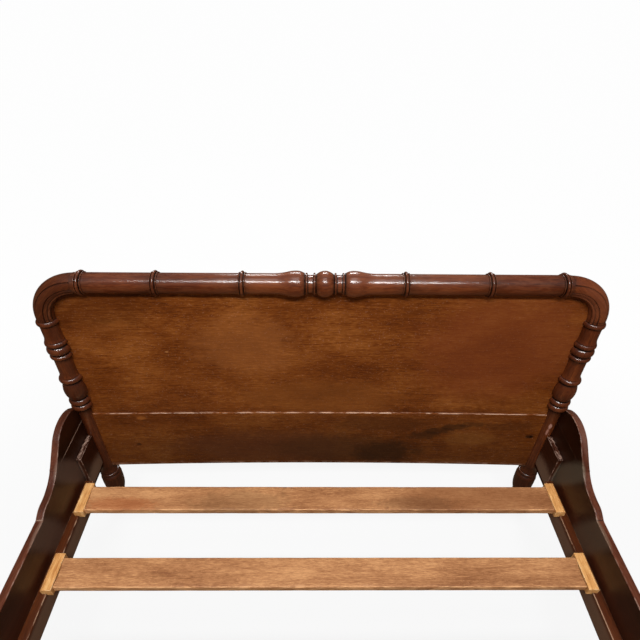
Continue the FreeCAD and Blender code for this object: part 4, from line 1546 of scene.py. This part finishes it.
@dataclass
class SideRail:
    """A side rail with its scrolls, corner blocks and ledger.

    Attributes:
        side: Which side of the bed it is on.
        materials: The material of each slot.
        face_grime: How dirty the inner face, the inner arris, the outer face and the lower edge are.
        cope: The radius that the ends are cut to round the shaft and round the knop of a post.
        cope_step: The height at which the one cut goes over into the other.
        cope_zone: How far from the post's axis the cut starts to count.
        block: The inner face, the front end and the lower edge of the corner block at the head.
        block_top: Its back end and its upper edge.
        painted_bounce_heights: The heights between which faces go from half as dirty to fully dirty; the
            lower, cleaner faces are painted light from the floor's bounce.
        block_rounds: The radii of a corner block's edges: inside below and above, outside above and below.
        ledger_rounds: The same of the ledger.
        ledger_chips: The wave and the depth of the chips along the ledger.
        ledger_bare: How far below the ledger's top its bare face starts and is fully bare.
        block_dents: The wave and the depth of the dents in a corner block.
        glue_reach: How far the glue stops short of the front and of the back of the block.
        glue_lumps: The share, the swirl and the wave of the lumps in the glue.
        glue_taper: The length over which the glue thins out at its ends.
        glue_size: Half the width and half the height of the glue.
        glue_middle: How far inside the rail and below the block's top its middle is.
    """

    side: Side
    materials: Materials
    line: ScrollLine = ScrollLine()
    post_x: float = 679.0
    head_y: float = 995.0
    inner: float = 691.0
    outer: float = 710.0
    bottom: float = 225.0
    end: float = 1001.0
    glue_line: float = 450.0
    arris: float = 2.5
    arris_points: int = 5
    arris_wear_and_highlight: float = 0.65
    glue_arris: float = 0.5
    face_grime: Four = (0.92, 0.5, 0.15, 0.9)
    cope: Pair = (20.4, 32.1)
    cope_step: float = 495.4
    cope_zone: float = 45.0
    shaped_length: float = 320.0
    shaped_rows: int = 82
    plain_rows: int = 24
    rail_face_rows: int = 10
    scroll_tip: float = 0.6
    scroll_rows: int = 66
    scroll_face_rows: int = 24
    block: Triple = (677.0, 888.6, 258.0)
    block_top: Pair = (974.6, 389.0)
    block_rounds: Four = (2.0, 2.0, 0.4, 0.4)
    block_dents: Pair = (46.0, 0.7)
    block_wear: float = 0.8
    block_grime: float = 0.95
    painted_bounce_heights: Pair = (320.0, 450.0)
    ledger_inner: float = 669.0
    ledger_top: float = 288.0
    ledger_rounds: Four = (2.5, 2.5, 0.4, 0.4)
    ledger_chips: Pair = (310.0, 0.5)
    ledger_bare: Pair = (4.0, 16.0)
    glue_points: int = 14
    glue_rows: int = 60
    glue_reach: Pair = (3.0, 2.0)
    glue_lumps: Triple = (0.45, 9.0, 23.0)
    glue_taper: float = 6.0
    glue_size: Pair = (5.2, 2.3)
    glue_middle: Pair = (5.6, 0.3)
    glue_grime: float = 0.5

    def build(self) -> None:
        """Builds and dresses every piece of the side."""
        self.rail()
        self.ledger()
        for end in End:
            self.scroll(end)
            self.corner_block(end)
            self.glue(end)

    def named(self, name: str, end: Optional[End] = None) -> str:
        """A piece's name with its side, and its end where it has one."""
        side = f"{self.side.name.lower()}_{name}"
        return f"{end.name.lower()}_{side}" if end else side

    def put(self, piece: Piece, points: np.ndarray, wear: np.ndarray, grime: np.ndarray) -> None:
        """Adds a skin that is modelled on the right, on the rail's own side, with its grain along the bed."""
        placed = points * np.array([self.side.value, 1, 1])
        piece.add_skin(placed, along_grain(placed, Along.Y), wear, grime)

    def cope_limit(self, x: np.ndarray, z: np.ndarray) -> np.ndarray:
        """Works out how far towards the head a rail can go before it meets the post.

        Args:
            x: Places across the bed.
            z: Heights.

        Returns:
            The limit at each place.
        """
        radius = np.interp(z, [self.cope_step - 1, self.cope_step + 1], self.cope)
        room = radius ** 2 - (x - self.post_x) ** 2
        return np.where(room > 0, self.head_y - np.sqrt(np.maximum(room, 0)), self.end)

    def rows(self, places: np.ndarray, low: float, high: float, face_rows: int) -> Rows:
        """Draws the rail's outline from place to place, with its ends fitted round the posts.

        Args:
            places: Places along the bed, from the head to the foot.
            low: The height of the lower edge.
            high: The height above which the piece is cut off level.
            face_rows: How many points go up each face.

        Returns:
            The points, the wear and the grime.
        """
        turn = np.linspace(0, np.pi / 2, self.arris_points)
        up = np.linspace(0, 1, face_rows)
        face, edge, flat = 0 * up, 0 * turn, np.zeros(3)
        round_up, round_in = np.sin(turn), 1 - np.cos(turn)
        # The rubbed arrises also carry a painted highlight along the top edges.
        rubbed = self.arris_wear_and_highlight * np.sin(2 * turn)
        # Insets of 2 and 3 are a quarter and a half of the thickness, across the top and the bottom.
        quarters = np.array([2, 3, 2])
        inner_grime, arris_grime, outer_grime, lower_grime = self.face_grime
        levels = np.concatenate([up, 1 + edge, 1 + flat, 1 + edge, up[::-1], flat])
        rise = np.concatenate([face, round_up, 1 + flat, round_up[::-1], face, flat])
        inset = np.concatenate([face, round_in, quarters, round_in[::-1], face, quarters])
        outside = np.concatenate([face, edge, [0, 0.5, 1], 1 + edge, 1 + face, [1, 0.5, 0]])
        wear = np.concatenate([face, rubbed, flat, rubbed, face, flat])
        grime = np.concatenate([
            inner_grime + face, arris_grime * (1 - turn), flat, edge, outer_grime + face, lower_grime + flat,
        ])
        distance = (self.head_y - np.abs(places))[:, None]
        top = np.minimum(self.line.height(distance), high)
        arris = np.where(self.line.height(distance) > high, self.glue_arris, self.arris)
        arris = np.minimum(arris, (top - low) / 3)
        thick = self.outer - self.inner
        width = np.where(inset > 1, (inset - 1) * thick / 4, inset * arris)
        x = np.where(outside == 0.5, (self.inner + self.outer) / 2, 0)
        x = np.where(outside == 0, self.inner + width, x)
        x = np.where(outside == 1, self.outer - width, x)
        z = low + levels * (top - arris - low) + rise * arris
        share = np.clip((self.cope_zone - distance) / (self.cope_zone + self.end - self.head_y), 0, 1)
        start = self.head_y - self.cope_zone
        y = np.abs(places)[:, None] + 0 * x
        for _ in range(2):
            y = np.where(share > 0, start + share * (self.cope_limit(x, z) - start), y)
            crest = np.minimum(self.line.height(self.head_y - y), high)
            z = low + levels * (crest - arris - low) + rise * arris
        points = np.stack([x, y * np.sign(places)[:, None], z], -1)
        return points, np.broadcast_to(wear, x.shape), grime * self.painted_floor_bounce(z)

    def painted_floor_bounce(self, z: np.ndarray) -> np.ndarray:
        """Works out how much of the dirt shows at a height: less lower down, as painted light from the
        floor's bounce.
        """
        return np.interp(z, self.painted_bounce_heights, [0.5, 1.0])

    def rail(self) -> None:
        """Builds the side rail, up to the glue lines under its scrolls."""
        piece = Piece(self.named("side_rail"), Slot.RAIL)
        shaped = np.linspace(self.head_y - self.end, self.shaped_length, self.shaped_rows)
        plain = np.linspace(self.shaped_length, self.head_y, self.plain_rows)
        near = np.concatenate([shaped, plain[1:]])
        places = np.concatenate([self.head_y - near, (near - self.head_y)[::-1][1:]])
        points, wear, grime = self.rows(places, self.bottom, self.glue_line, self.rail_face_rows)
        self.put(piece, points, wear, grime)
        piece.build(self.materials, piece.name)

    def scroll(self, end: End) -> None:
        """Builds a scroll, which is glued on the rail.

        Args:
            end: Which end it is at.
        """
        piece = Piece(self.named("scroll", end), Slot.RAIL)
        run = np.linspace(self.line.crown[0], self.line.crown[0] + self.line.length, 400)
        tip = float(np.interp(-self.glue_line - self.scroll_tip, -self.line.height(run), run))
        places = (self.head_y - np.linspace(self.head_y - self.end, tip, self.scroll_rows)) * end.value
        points, wear, grime = self.rows(places, self.glue_line, 2 * self.glue_line, self.scroll_face_rows)
        self.put(piece, points, wear, grime)
        piece.build(self.materials, piece.name)

    def ledger(self) -> None:
        """Builds the ledger that carries the slats."""
        piece = Piece(self.named("ledger"), Slot.LEDGER)
        top = self.ledger_top
        sides = (self.ledger_inner, self.inner)
        outline = Outline.box(sides, (self.bottom, top), self.ledger_rounds, spacing=8.0)
        along, across, wear = outline.sweep(-self.block[1], self.block[1], spacing=18.0, ease=0.8)
        wave, depth = self.ledger_chips
        chipped = wear * uneven(along, piece.seed, wave) * depth
        points = np.stack([across[..., 0] + np.abs(chipped), along, across[..., 1]], -1)
        inward = np.clip((self.ledger_inner + 2.0 - across[..., 0]) / 2.0, 0, 1)
        upper, lower = (top - drop for drop in self.ledger_bare)
        inward = inward * np.interp(across[..., 1], [lower, upper], [1, 0])
        self.put(piece, points, wear, inward)
        piece.build(self.materials, piece.name)

    def corner_block(self, end: End) -> None:
        """Builds a corner block, which holds the rail to its post.

        Args:
            end: Which end it is at.
        """
        piece = Piece(self.named("corner_block", end), Slot.RAIL)
        x, front, bottom = self.block
        back, top = self.block_top
        outline = Outline.box((x, self.inner), (bottom, top), self.block_rounds, spacing=6.0)
        along, across, wear = outline.sweep(front, back, spacing=5.0, ease=1.6)
        wave, depth = self.block_dents
        dents = wear * np.abs(uneven(along + across[..., 1], piece.seed, wave)) * depth
        points = np.stack([across[..., 0] + dents, along * end.value, across[..., 1]], -1)
        dirt = self.block_grime * self.painted_floor_bounce(across[..., 1])
        self.put(piece, points, self.block_wear * wear, dirt)
        piece.build(self.materials, piece.name)

    def glue(self, end: End) -> None:
        """Builds the rough glue that has set on top of a corner block.

        Args:
            end: Which end it is at.
        """
        piece = Piece(self.named("glue", end), Slot.RAIL)
        first = self.block[1] + self.glue_reach[0]
        last = self.block_top[0] - self.glue_reach[1]
        angles = np.arange(self.glue_points) * 2 * np.pi / self.glue_points
        along = np.linspace(first, last, self.glue_rows)[:, None]
        share, swirl, wave = self.glue_lumps
        lumps = 1 + share * uneven(along + swirl * np.cos(angles), piece.seed, wave)
        short = np.minimum(along - first, last - along) + 1
        ends = np.sqrt(np.clip(short / self.glue_taper, 0.02, 1))
        x = self.inner - self.glue_middle[0] + self.glue_size[0] * lumps * ends * np.cos(angles)
        z = self.block_top[1] - self.glue_middle[1] + self.glue_size[1] * lumps * ends * np.sin(angles)
        points = np.stack([np.minimum(x, self.inner + 0.2), (along + 0 * x) * end.value, z], -1)
        self.put(piece, points, np.clip(lumps - 0.35, 0, 1), np.full_like(x, self.glue_grime))
        piece.build(self.materials)


@dataclass
class Slat:
    """A loose slat: a board with a rebated block at each end.

    Attributes:
        number: Its number, counted from the head.
        materials: The material of each slot.
        edge_rounds: The radii of the board's edges: foot side below and above, head side above and below.
        nicks: The wave of the nicks along the edges, and the value from which one shows.
        nick_depth: How deep they go in from the side and down from the top.
        end_hollow: How hollow the ends of the board are sawn, and the length that this takes.
        front_face_light_and_wear: How far onto the top the lightening of the foot side reaches, and how
            strong it is; it lightens the whole face on the foot side as painted light, as well as its worn
            arris.
        heel_reach: Where the heel of a block starts and ends, from the slat's middle line.
        heel: The corners across the heel, on the right, with their radii.
        toe_reach: Where the toe starts and ends.
        toe: The corners across the toe.
        toe_grime: How dirty the toe is.
        saw: The depth and the wave of the saw marks on the blocks.
        grain_shift: How far the grain is moved, one way in the right block and the other in the left one.
    """

    number: int
    materials: Materials
    first_place: float = 820.0
    pitch: float = 205.0
    width: float = 73.0
    bottom: float = 289.0
    top: float = 308.0
    half_length: float = 652.0
    edge_rounds: Four = (2.0, 2.6, 2.2, 2.0)
    nicks: Pair = (170.0, 0.15)
    nick_depth: Pair = (1.1, 0.8)
    end_hollow: Pair = (2.2, 40.0)
    front_face_light_and_wear: Pair = (1.4, 0.65)
    block_inner: float = 652.6
    heel_reach: Pair = (-43.0, 48.0)
    heel: tuple[Triple, ...] = (
        (680.0, 288.0, 0.6), (680.0, 304.5, 0.8), (676.5, 308.0, 0.8), (652.6, 308.0, 0.7),
        (652.6, 283.0, 0.7), (668.0, 283.0, 0.7), (668.0, 288.0, 0.4),
    )
    toe_reach: Pair = (-33.0, 33.0)
    toe: tuple[Triple, ...] = (
        (653.4, 289.0, 0.4), (647.0, 289.0, 0.5), (647.0, 282.0, 0.7), (653.4, 282.0, 0.4),
    )
    toe_grime: float = 0.5
    saw: Pair = (0.25, 7.0)
    grain_shift: float = 400.0

    def build(self) -> None:
        """Builds and dresses the slat."""
        self.place = self.first_place - (self.number - 1) * self.pitch
        self.board()
        self.end_blocks()

    def board(self) -> None:
        """Builds the board, with edges that have worn unevenly."""
        piece = Piece(f"slat_{self.number}_board", Slot.SLAT, f"slat_{self.number}")
        half = self.width / 2
        outline = Outline.box((-half, half), (self.bottom, self.top), self.edge_rounds, spacing=7.0)
        along, across, wear = outline.sweep(-self.half_length, self.half_length, spacing=9.0, ease=1.4)
        y, z = across[..., 0], across[..., 1]
        wave, least = self.nicks
        nick = np.clip(uneven(along, piece.seed, wave) - least, 0, 1) * wear
        y = y - np.sign(y) * nick * self.nick_depth[0]
        z = z - np.sign(z - self.bottom - 5) * nick * self.nick_depth[1]
        depth, zone = self.end_hollow
        hollow = depth * np.clip(1 - (y / half + 0.25) ** 2, 0, 1) * (1 + 0.5 * math.sin(piece.seed))
        along = along - np.sign(along) * hollow * np.clip((np.abs(along) - self.half_length) / zone + 1, 0, 1)
        points = np.stack([along, y + self.place, z], -1)
        # Painted light: the whole face on the foot side is lightened, along with its worn arris.
        strip, rubbed = self.front_face_light_and_wear
        front = rubbed * np.clip((-half + strip - y) / strip, 0, 1)
        piece.add_skin(points, along_grain(points, Along.X), np.maximum(wear, front), np.zeros_like(wear))
        piece.build(self.materials, piece.name)

    def end_blocks(self) -> None:
        """Builds the two rebated blocks: the heel lies on the ledger and the toe carries the board."""
        piece = Piece(f"slat_{self.number}_end_blocks", Slot.BLOCK, f"slat_{self.number}")
        depth, wave = self.saw
        parts = ((self.heel, self.heel_reach, 0.0), (self.toe, self.toe_reach, self.toe_grime))
        for side in Side:
            shift = np.array([0, self.grain_shift * side.value, 0])
            for section, reach, dirt in parts:
                outline = Outline.rounded(section, spacing=5.0, steps=3)
                along, across, wear = outline.sweep(*reach, spacing=6.0, ease=0.8)
                sawn = depth * uneven(along, piece.seed + side.value, wave)
                x = (across[..., 0] + sawn * (across[..., 0] < self.block_inner + 1)) * side.value
                points = np.stack([x, along + self.place, across[..., 1]], -1)
                grain = along_grain(points + shift, Along.Y)
                piece.add_skin(points, grain, wear, np.full_like(wear, dirt))
        piece.build(self.materials, piece.name)


@dataclass
class Fittings:
    """The pieces of the frame that keep their own shape: dowels, hook plates, pins, rivets and screws."""

    materials: Materials

    def build(self) -> None:
        """Dresses each piece."""
        for name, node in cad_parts.items():
            slot = self.slot_of(name)
            if slot:
                node.data.materials.clear()
                node.data.materials.append(self.materials[slot])
                LOG.info("%s: dressed in %s", name, slot.value)

    @staticmethod
    def slot_of(name: str) -> Optional[Slot]:
        """Picks the slot of a kept piece.

        Args:
            name: The piece's name.

        Returns:
            The slot, or nothing for a piece that is replaced.
        """
        if name.endswith("_dowels"):
            return Slot.DOWEL
        if name.endswith("_screws"):
            return Slot.SCREW
        return Slot.HOOK if name.startswith("hook_") or name.endswith("_hook_plate") else None


@dataclass(frozen=True)
class Lamp:
    """A soft lamp.

    Attributes:
        name: Its name.
        place: Where it hangs, in metres.
        aim: What it points at, in metres.
        size: Its width and height, in metres.
        power: Its power, in watts.
        gleams: Whether polish mirrors it.
    """

    name: str
    place: Triple
    aim: Triple
    size: Pair
    power: float
    gleams: bool = True

    def hang(self) -> None:
        """Hangs the lamp, out of the camera's sight."""
        light = bpy.data.lights.new(self.name, "AREA")
        light.shape = "RECTANGLE"
        light.size, light.size_y = self.size
        light.energy = self.power
        lamp = bpy.data.objects.new(self.name, light)
        lamp.location = self.place
        lamp.rotation_euler = (Vector(self.aim) - Vector(self.place)).to_track_quat("-Z", "Y").to_euler()
        lamp.visible_camera = False
        lamp.visible_glossy = self.gleams
        bpy.context.scene.collection.objects.link(lamp)


@dataclass
class Studio:
    """The floor, the light and the camera.

    Attributes:
        eye: The camera's place, in metres.
        pitch: How far it looks down, in degrees.
        yaw: How far it is turned, in degrees.
        roll: How far it leans, in degrees.
        focal: Its focal length in pixels of the image.
        image: The image's width in pixels.
        floor_tone: The floor's colour as the camera sees it.
        floor_bounce: Its colour as it lights the bed.
        floor_mirror: Its colour as polish mirrors it.
        floor_glow: How much of the floor glows, near the bed and far from it.
        glow_reach: The distances between which the one goes over into the other, in metres.
        ceiling_edge: The heights in the sky between which the walls go over into the ceiling.
        lamps: The lamps, each with its place, aim, size and power.
    """

    eye: Triple = (-0.0215, 0.035, 1.5456)
    pitch: float = 37.549
    yaw: float = -0.875
    roll: float = -0.824
    focal: float = 487.42
    image: float = 640.0
    sensor: float = 36.0
    floor_size: float = 60.0
    floor_level: float = -0.0005
    floor_tone: Four = (0.48, 0.48, 0.48, 1.0)
    floor_bounce: Four = (0.16, 0.105, 0.065, 1.0)
    floor_mirror: Four = (0.11, 0.074, 0.048, 1.0)
    walls: Four = (0.04, 0.04, 0.04, 1.0)
    wall_mirror: Four = (0.1, 0.078, 0.06, 1.0)
    ceiling: Four = (0.27, 0.27, 0.27, 1.0)
    white: Four = (1.0, 1.0, 1.0, 1.0)
    floor_glow: Pair = (0.88, 0.985)
    glow_reach: Pair = (1.1, 2.4)
    ceiling_edge: Pair = (0.5, 0.9)
    lamps: tuple[Lamp, ...] = (
        Lamp("key", (-0.1, -0.95, 3.5), (0.0, 0.7, 0.45), (2.6, 0.32), 146.0),
        Lamp("top", (0.0, 0.4, 3.6), (0.0, 0.6, 0.5), (1.6, 1.0), 14.0),
        Lamp("back", (0.0, 3.4, 2.6), (0.0, 0.9, 0.7), (1.3, 0.35), 50.0),
        Lamp("foot_low", (0.0, -3.2, 0.5), (0.0, -1.0, 0.5), (1.4, 0.3), 16.0, False),
        Lamp("right_low", (2.6, 0.0, 0.36), (0.7, 0.0, 0.36), (2.4, 0.3), 10.0, False),
        Lamp("left_low", (-2.6, 0.0, 0.36), (-0.7, 0.0, 0.36), (2.4, 0.3), 10.0, False),
    )

    def build(self) -> None:
        """Sets up everything round the bed."""
        self.floor()
        self.sky()
        for lamp in self.lamps:
            lamp.hang()
        self.camera()
        bpy.context.scene.view_settings.view_transform = "Standard"

    def floor(self) -> None:
        """Lays a pale floor that shows white to the camera and keeps the bed's shadow."""
        half = self.floor_size / 2
        mesh = bpy.data.meshes.new("floor")
        around = ((-half, -half), (half, -half), (half, half), (-half, half))
        mesh.from_pydata([(*corner, self.floor_level) for corner in around], [], [(0, 1, 2, 3)])
        material, sheet = NodeSheet.of_material("pale_floor")
        path = sheet.add("ShaderNodeLightPath")
        seen = path.outputs["Is Camera Ray"]
        diffuse = sheet.add("ShaderNodeBsdfDiffuse")
        sheet.feed(diffuse.inputs["Color"], sheet.mix(seen, self.floor_bounce, self.floor_tone))
        glow = sheet.add("ShaderNodeEmission")
        sheet.feed(glow.inputs["Color"], sheet.mix(seen, self.floor_mirror, self.white))
        shown = sheet.math("MAXIMUM", seen, sheet.mirrored(path))
        far = sheet.ease(sheet.length(sheet.place()), *self.glow_reach)
        near_glow, far_glow = self.floor_glow
        blend = sheet.add("ShaderNodeMixShader")
        share = sheet.scaled(far, far_glow - near_glow, near_glow)
        sheet.feed(blend.inputs[0], sheet.math("MULTIPLY", shown, share))
        sheet.feed(blend.inputs[1], diffuse.outputs[0])
        sheet.feed(blend.inputs[2], glow.outputs[0])
        sheet.surface(blend)
        mesh.materials.append(material)
        floor = bpy.data.objects.new("floor", mesh)
        bpy.context.scene.collection.objects.link(floor)

    def sky(self) -> None:
        """Lights the room softly from a pale ceiling, with dim walls that show white to the camera."""
        world = bpy.data.worlds.new("studio")
        bpy.context.scene.world = world
        world.use_nodes = True
        sheet = NodeSheet(world.node_tree)
        split = sheet.add("ShaderNodeSeparateXYZ")
        sheet.feed(split.inputs[0], sheet.add("ShaderNodeTexCoord").outputs["Generated"])
        high = sheet.ease(split.outputs["Z"], *self.ceiling_edge)
        path = sheet.add("ShaderNodeLightPath")
        around = sheet.mix(sheet.mirrored(path), self.walls, self.wall_mirror)
        room = sheet.mix(high, around, self.ceiling)
        background = sheet.add("ShaderNodeBackground")
        sheet.feed(background.inputs["Color"], sheet.mix(path.outputs["Is Camera Ray"], room, self.white))
        sheet.surface(background, "ShaderNodeOutputWorld")

    def camera(self) -> None:
        """Sets up the camera at the photograph's viewing angle."""
        pitch, yaw, roll = (math.radians(angle) for angle in (self.pitch, self.yaw, self.roll))
        dip, rise = math.sin(pitch), math.cos(pitch)
        level = Matrix(((1, 0, 0), (0, -dip, -rise), (0, rise, -dip)))
        turn, lean = (
            Matrix(((math.cos(angle), math.sin(angle), 0), (-math.sin(angle), math.cos(angle), 0), (0, 0, 1)))
            for angle in (yaw, roll)
        )
        right, down, ahead = lean @ level @ turn
        lens = bpy.data.cameras.new("camera")
        lens.sensor_fit = "HORIZONTAL"
        lens.sensor_width = self.sensor
        lens.lens = self.focal * self.sensor / self.image
        camera = bpy.data.objects.new("camera", lens)
        facing = Matrix((right, -down, -ahead)).transposed().to_4x4()
        camera.matrix_world = Matrix.Translation(self.eye) @ facing
        bpy.context.scene.collection.objects.link(camera)
        bpy.context.scene.camera = camera


# The lengths of the plain stretches above the knops of the posts
HEAD_SEGMENTS = (43.0, 34.0)
FOOT_SEGMENTS = (32.0,)
SLAT_COUNT = 9


def main() -> None:
    """Builds the bed's looks in order."""
    logging.basicConfig(level=logging.INFO, format="%(name)s %(message)s")
    materials = {slot: finish.material(slot) for slot, finish in FINISHES.items()}
    EndFrame(End.HEAD, materials, HEAD_SEGMENTS).build()
    EndFrame(End.FOOT, materials, FOOT_SEGMENTS).build()
    for side in Side:
        SideRail(side, materials).build()
    for number in range(1, SLAT_COUNT + 1):
        Slat(number, materials).build()
    Fittings(materials).build()
    Studio().build()


if __name__ == "__main__":
    main()
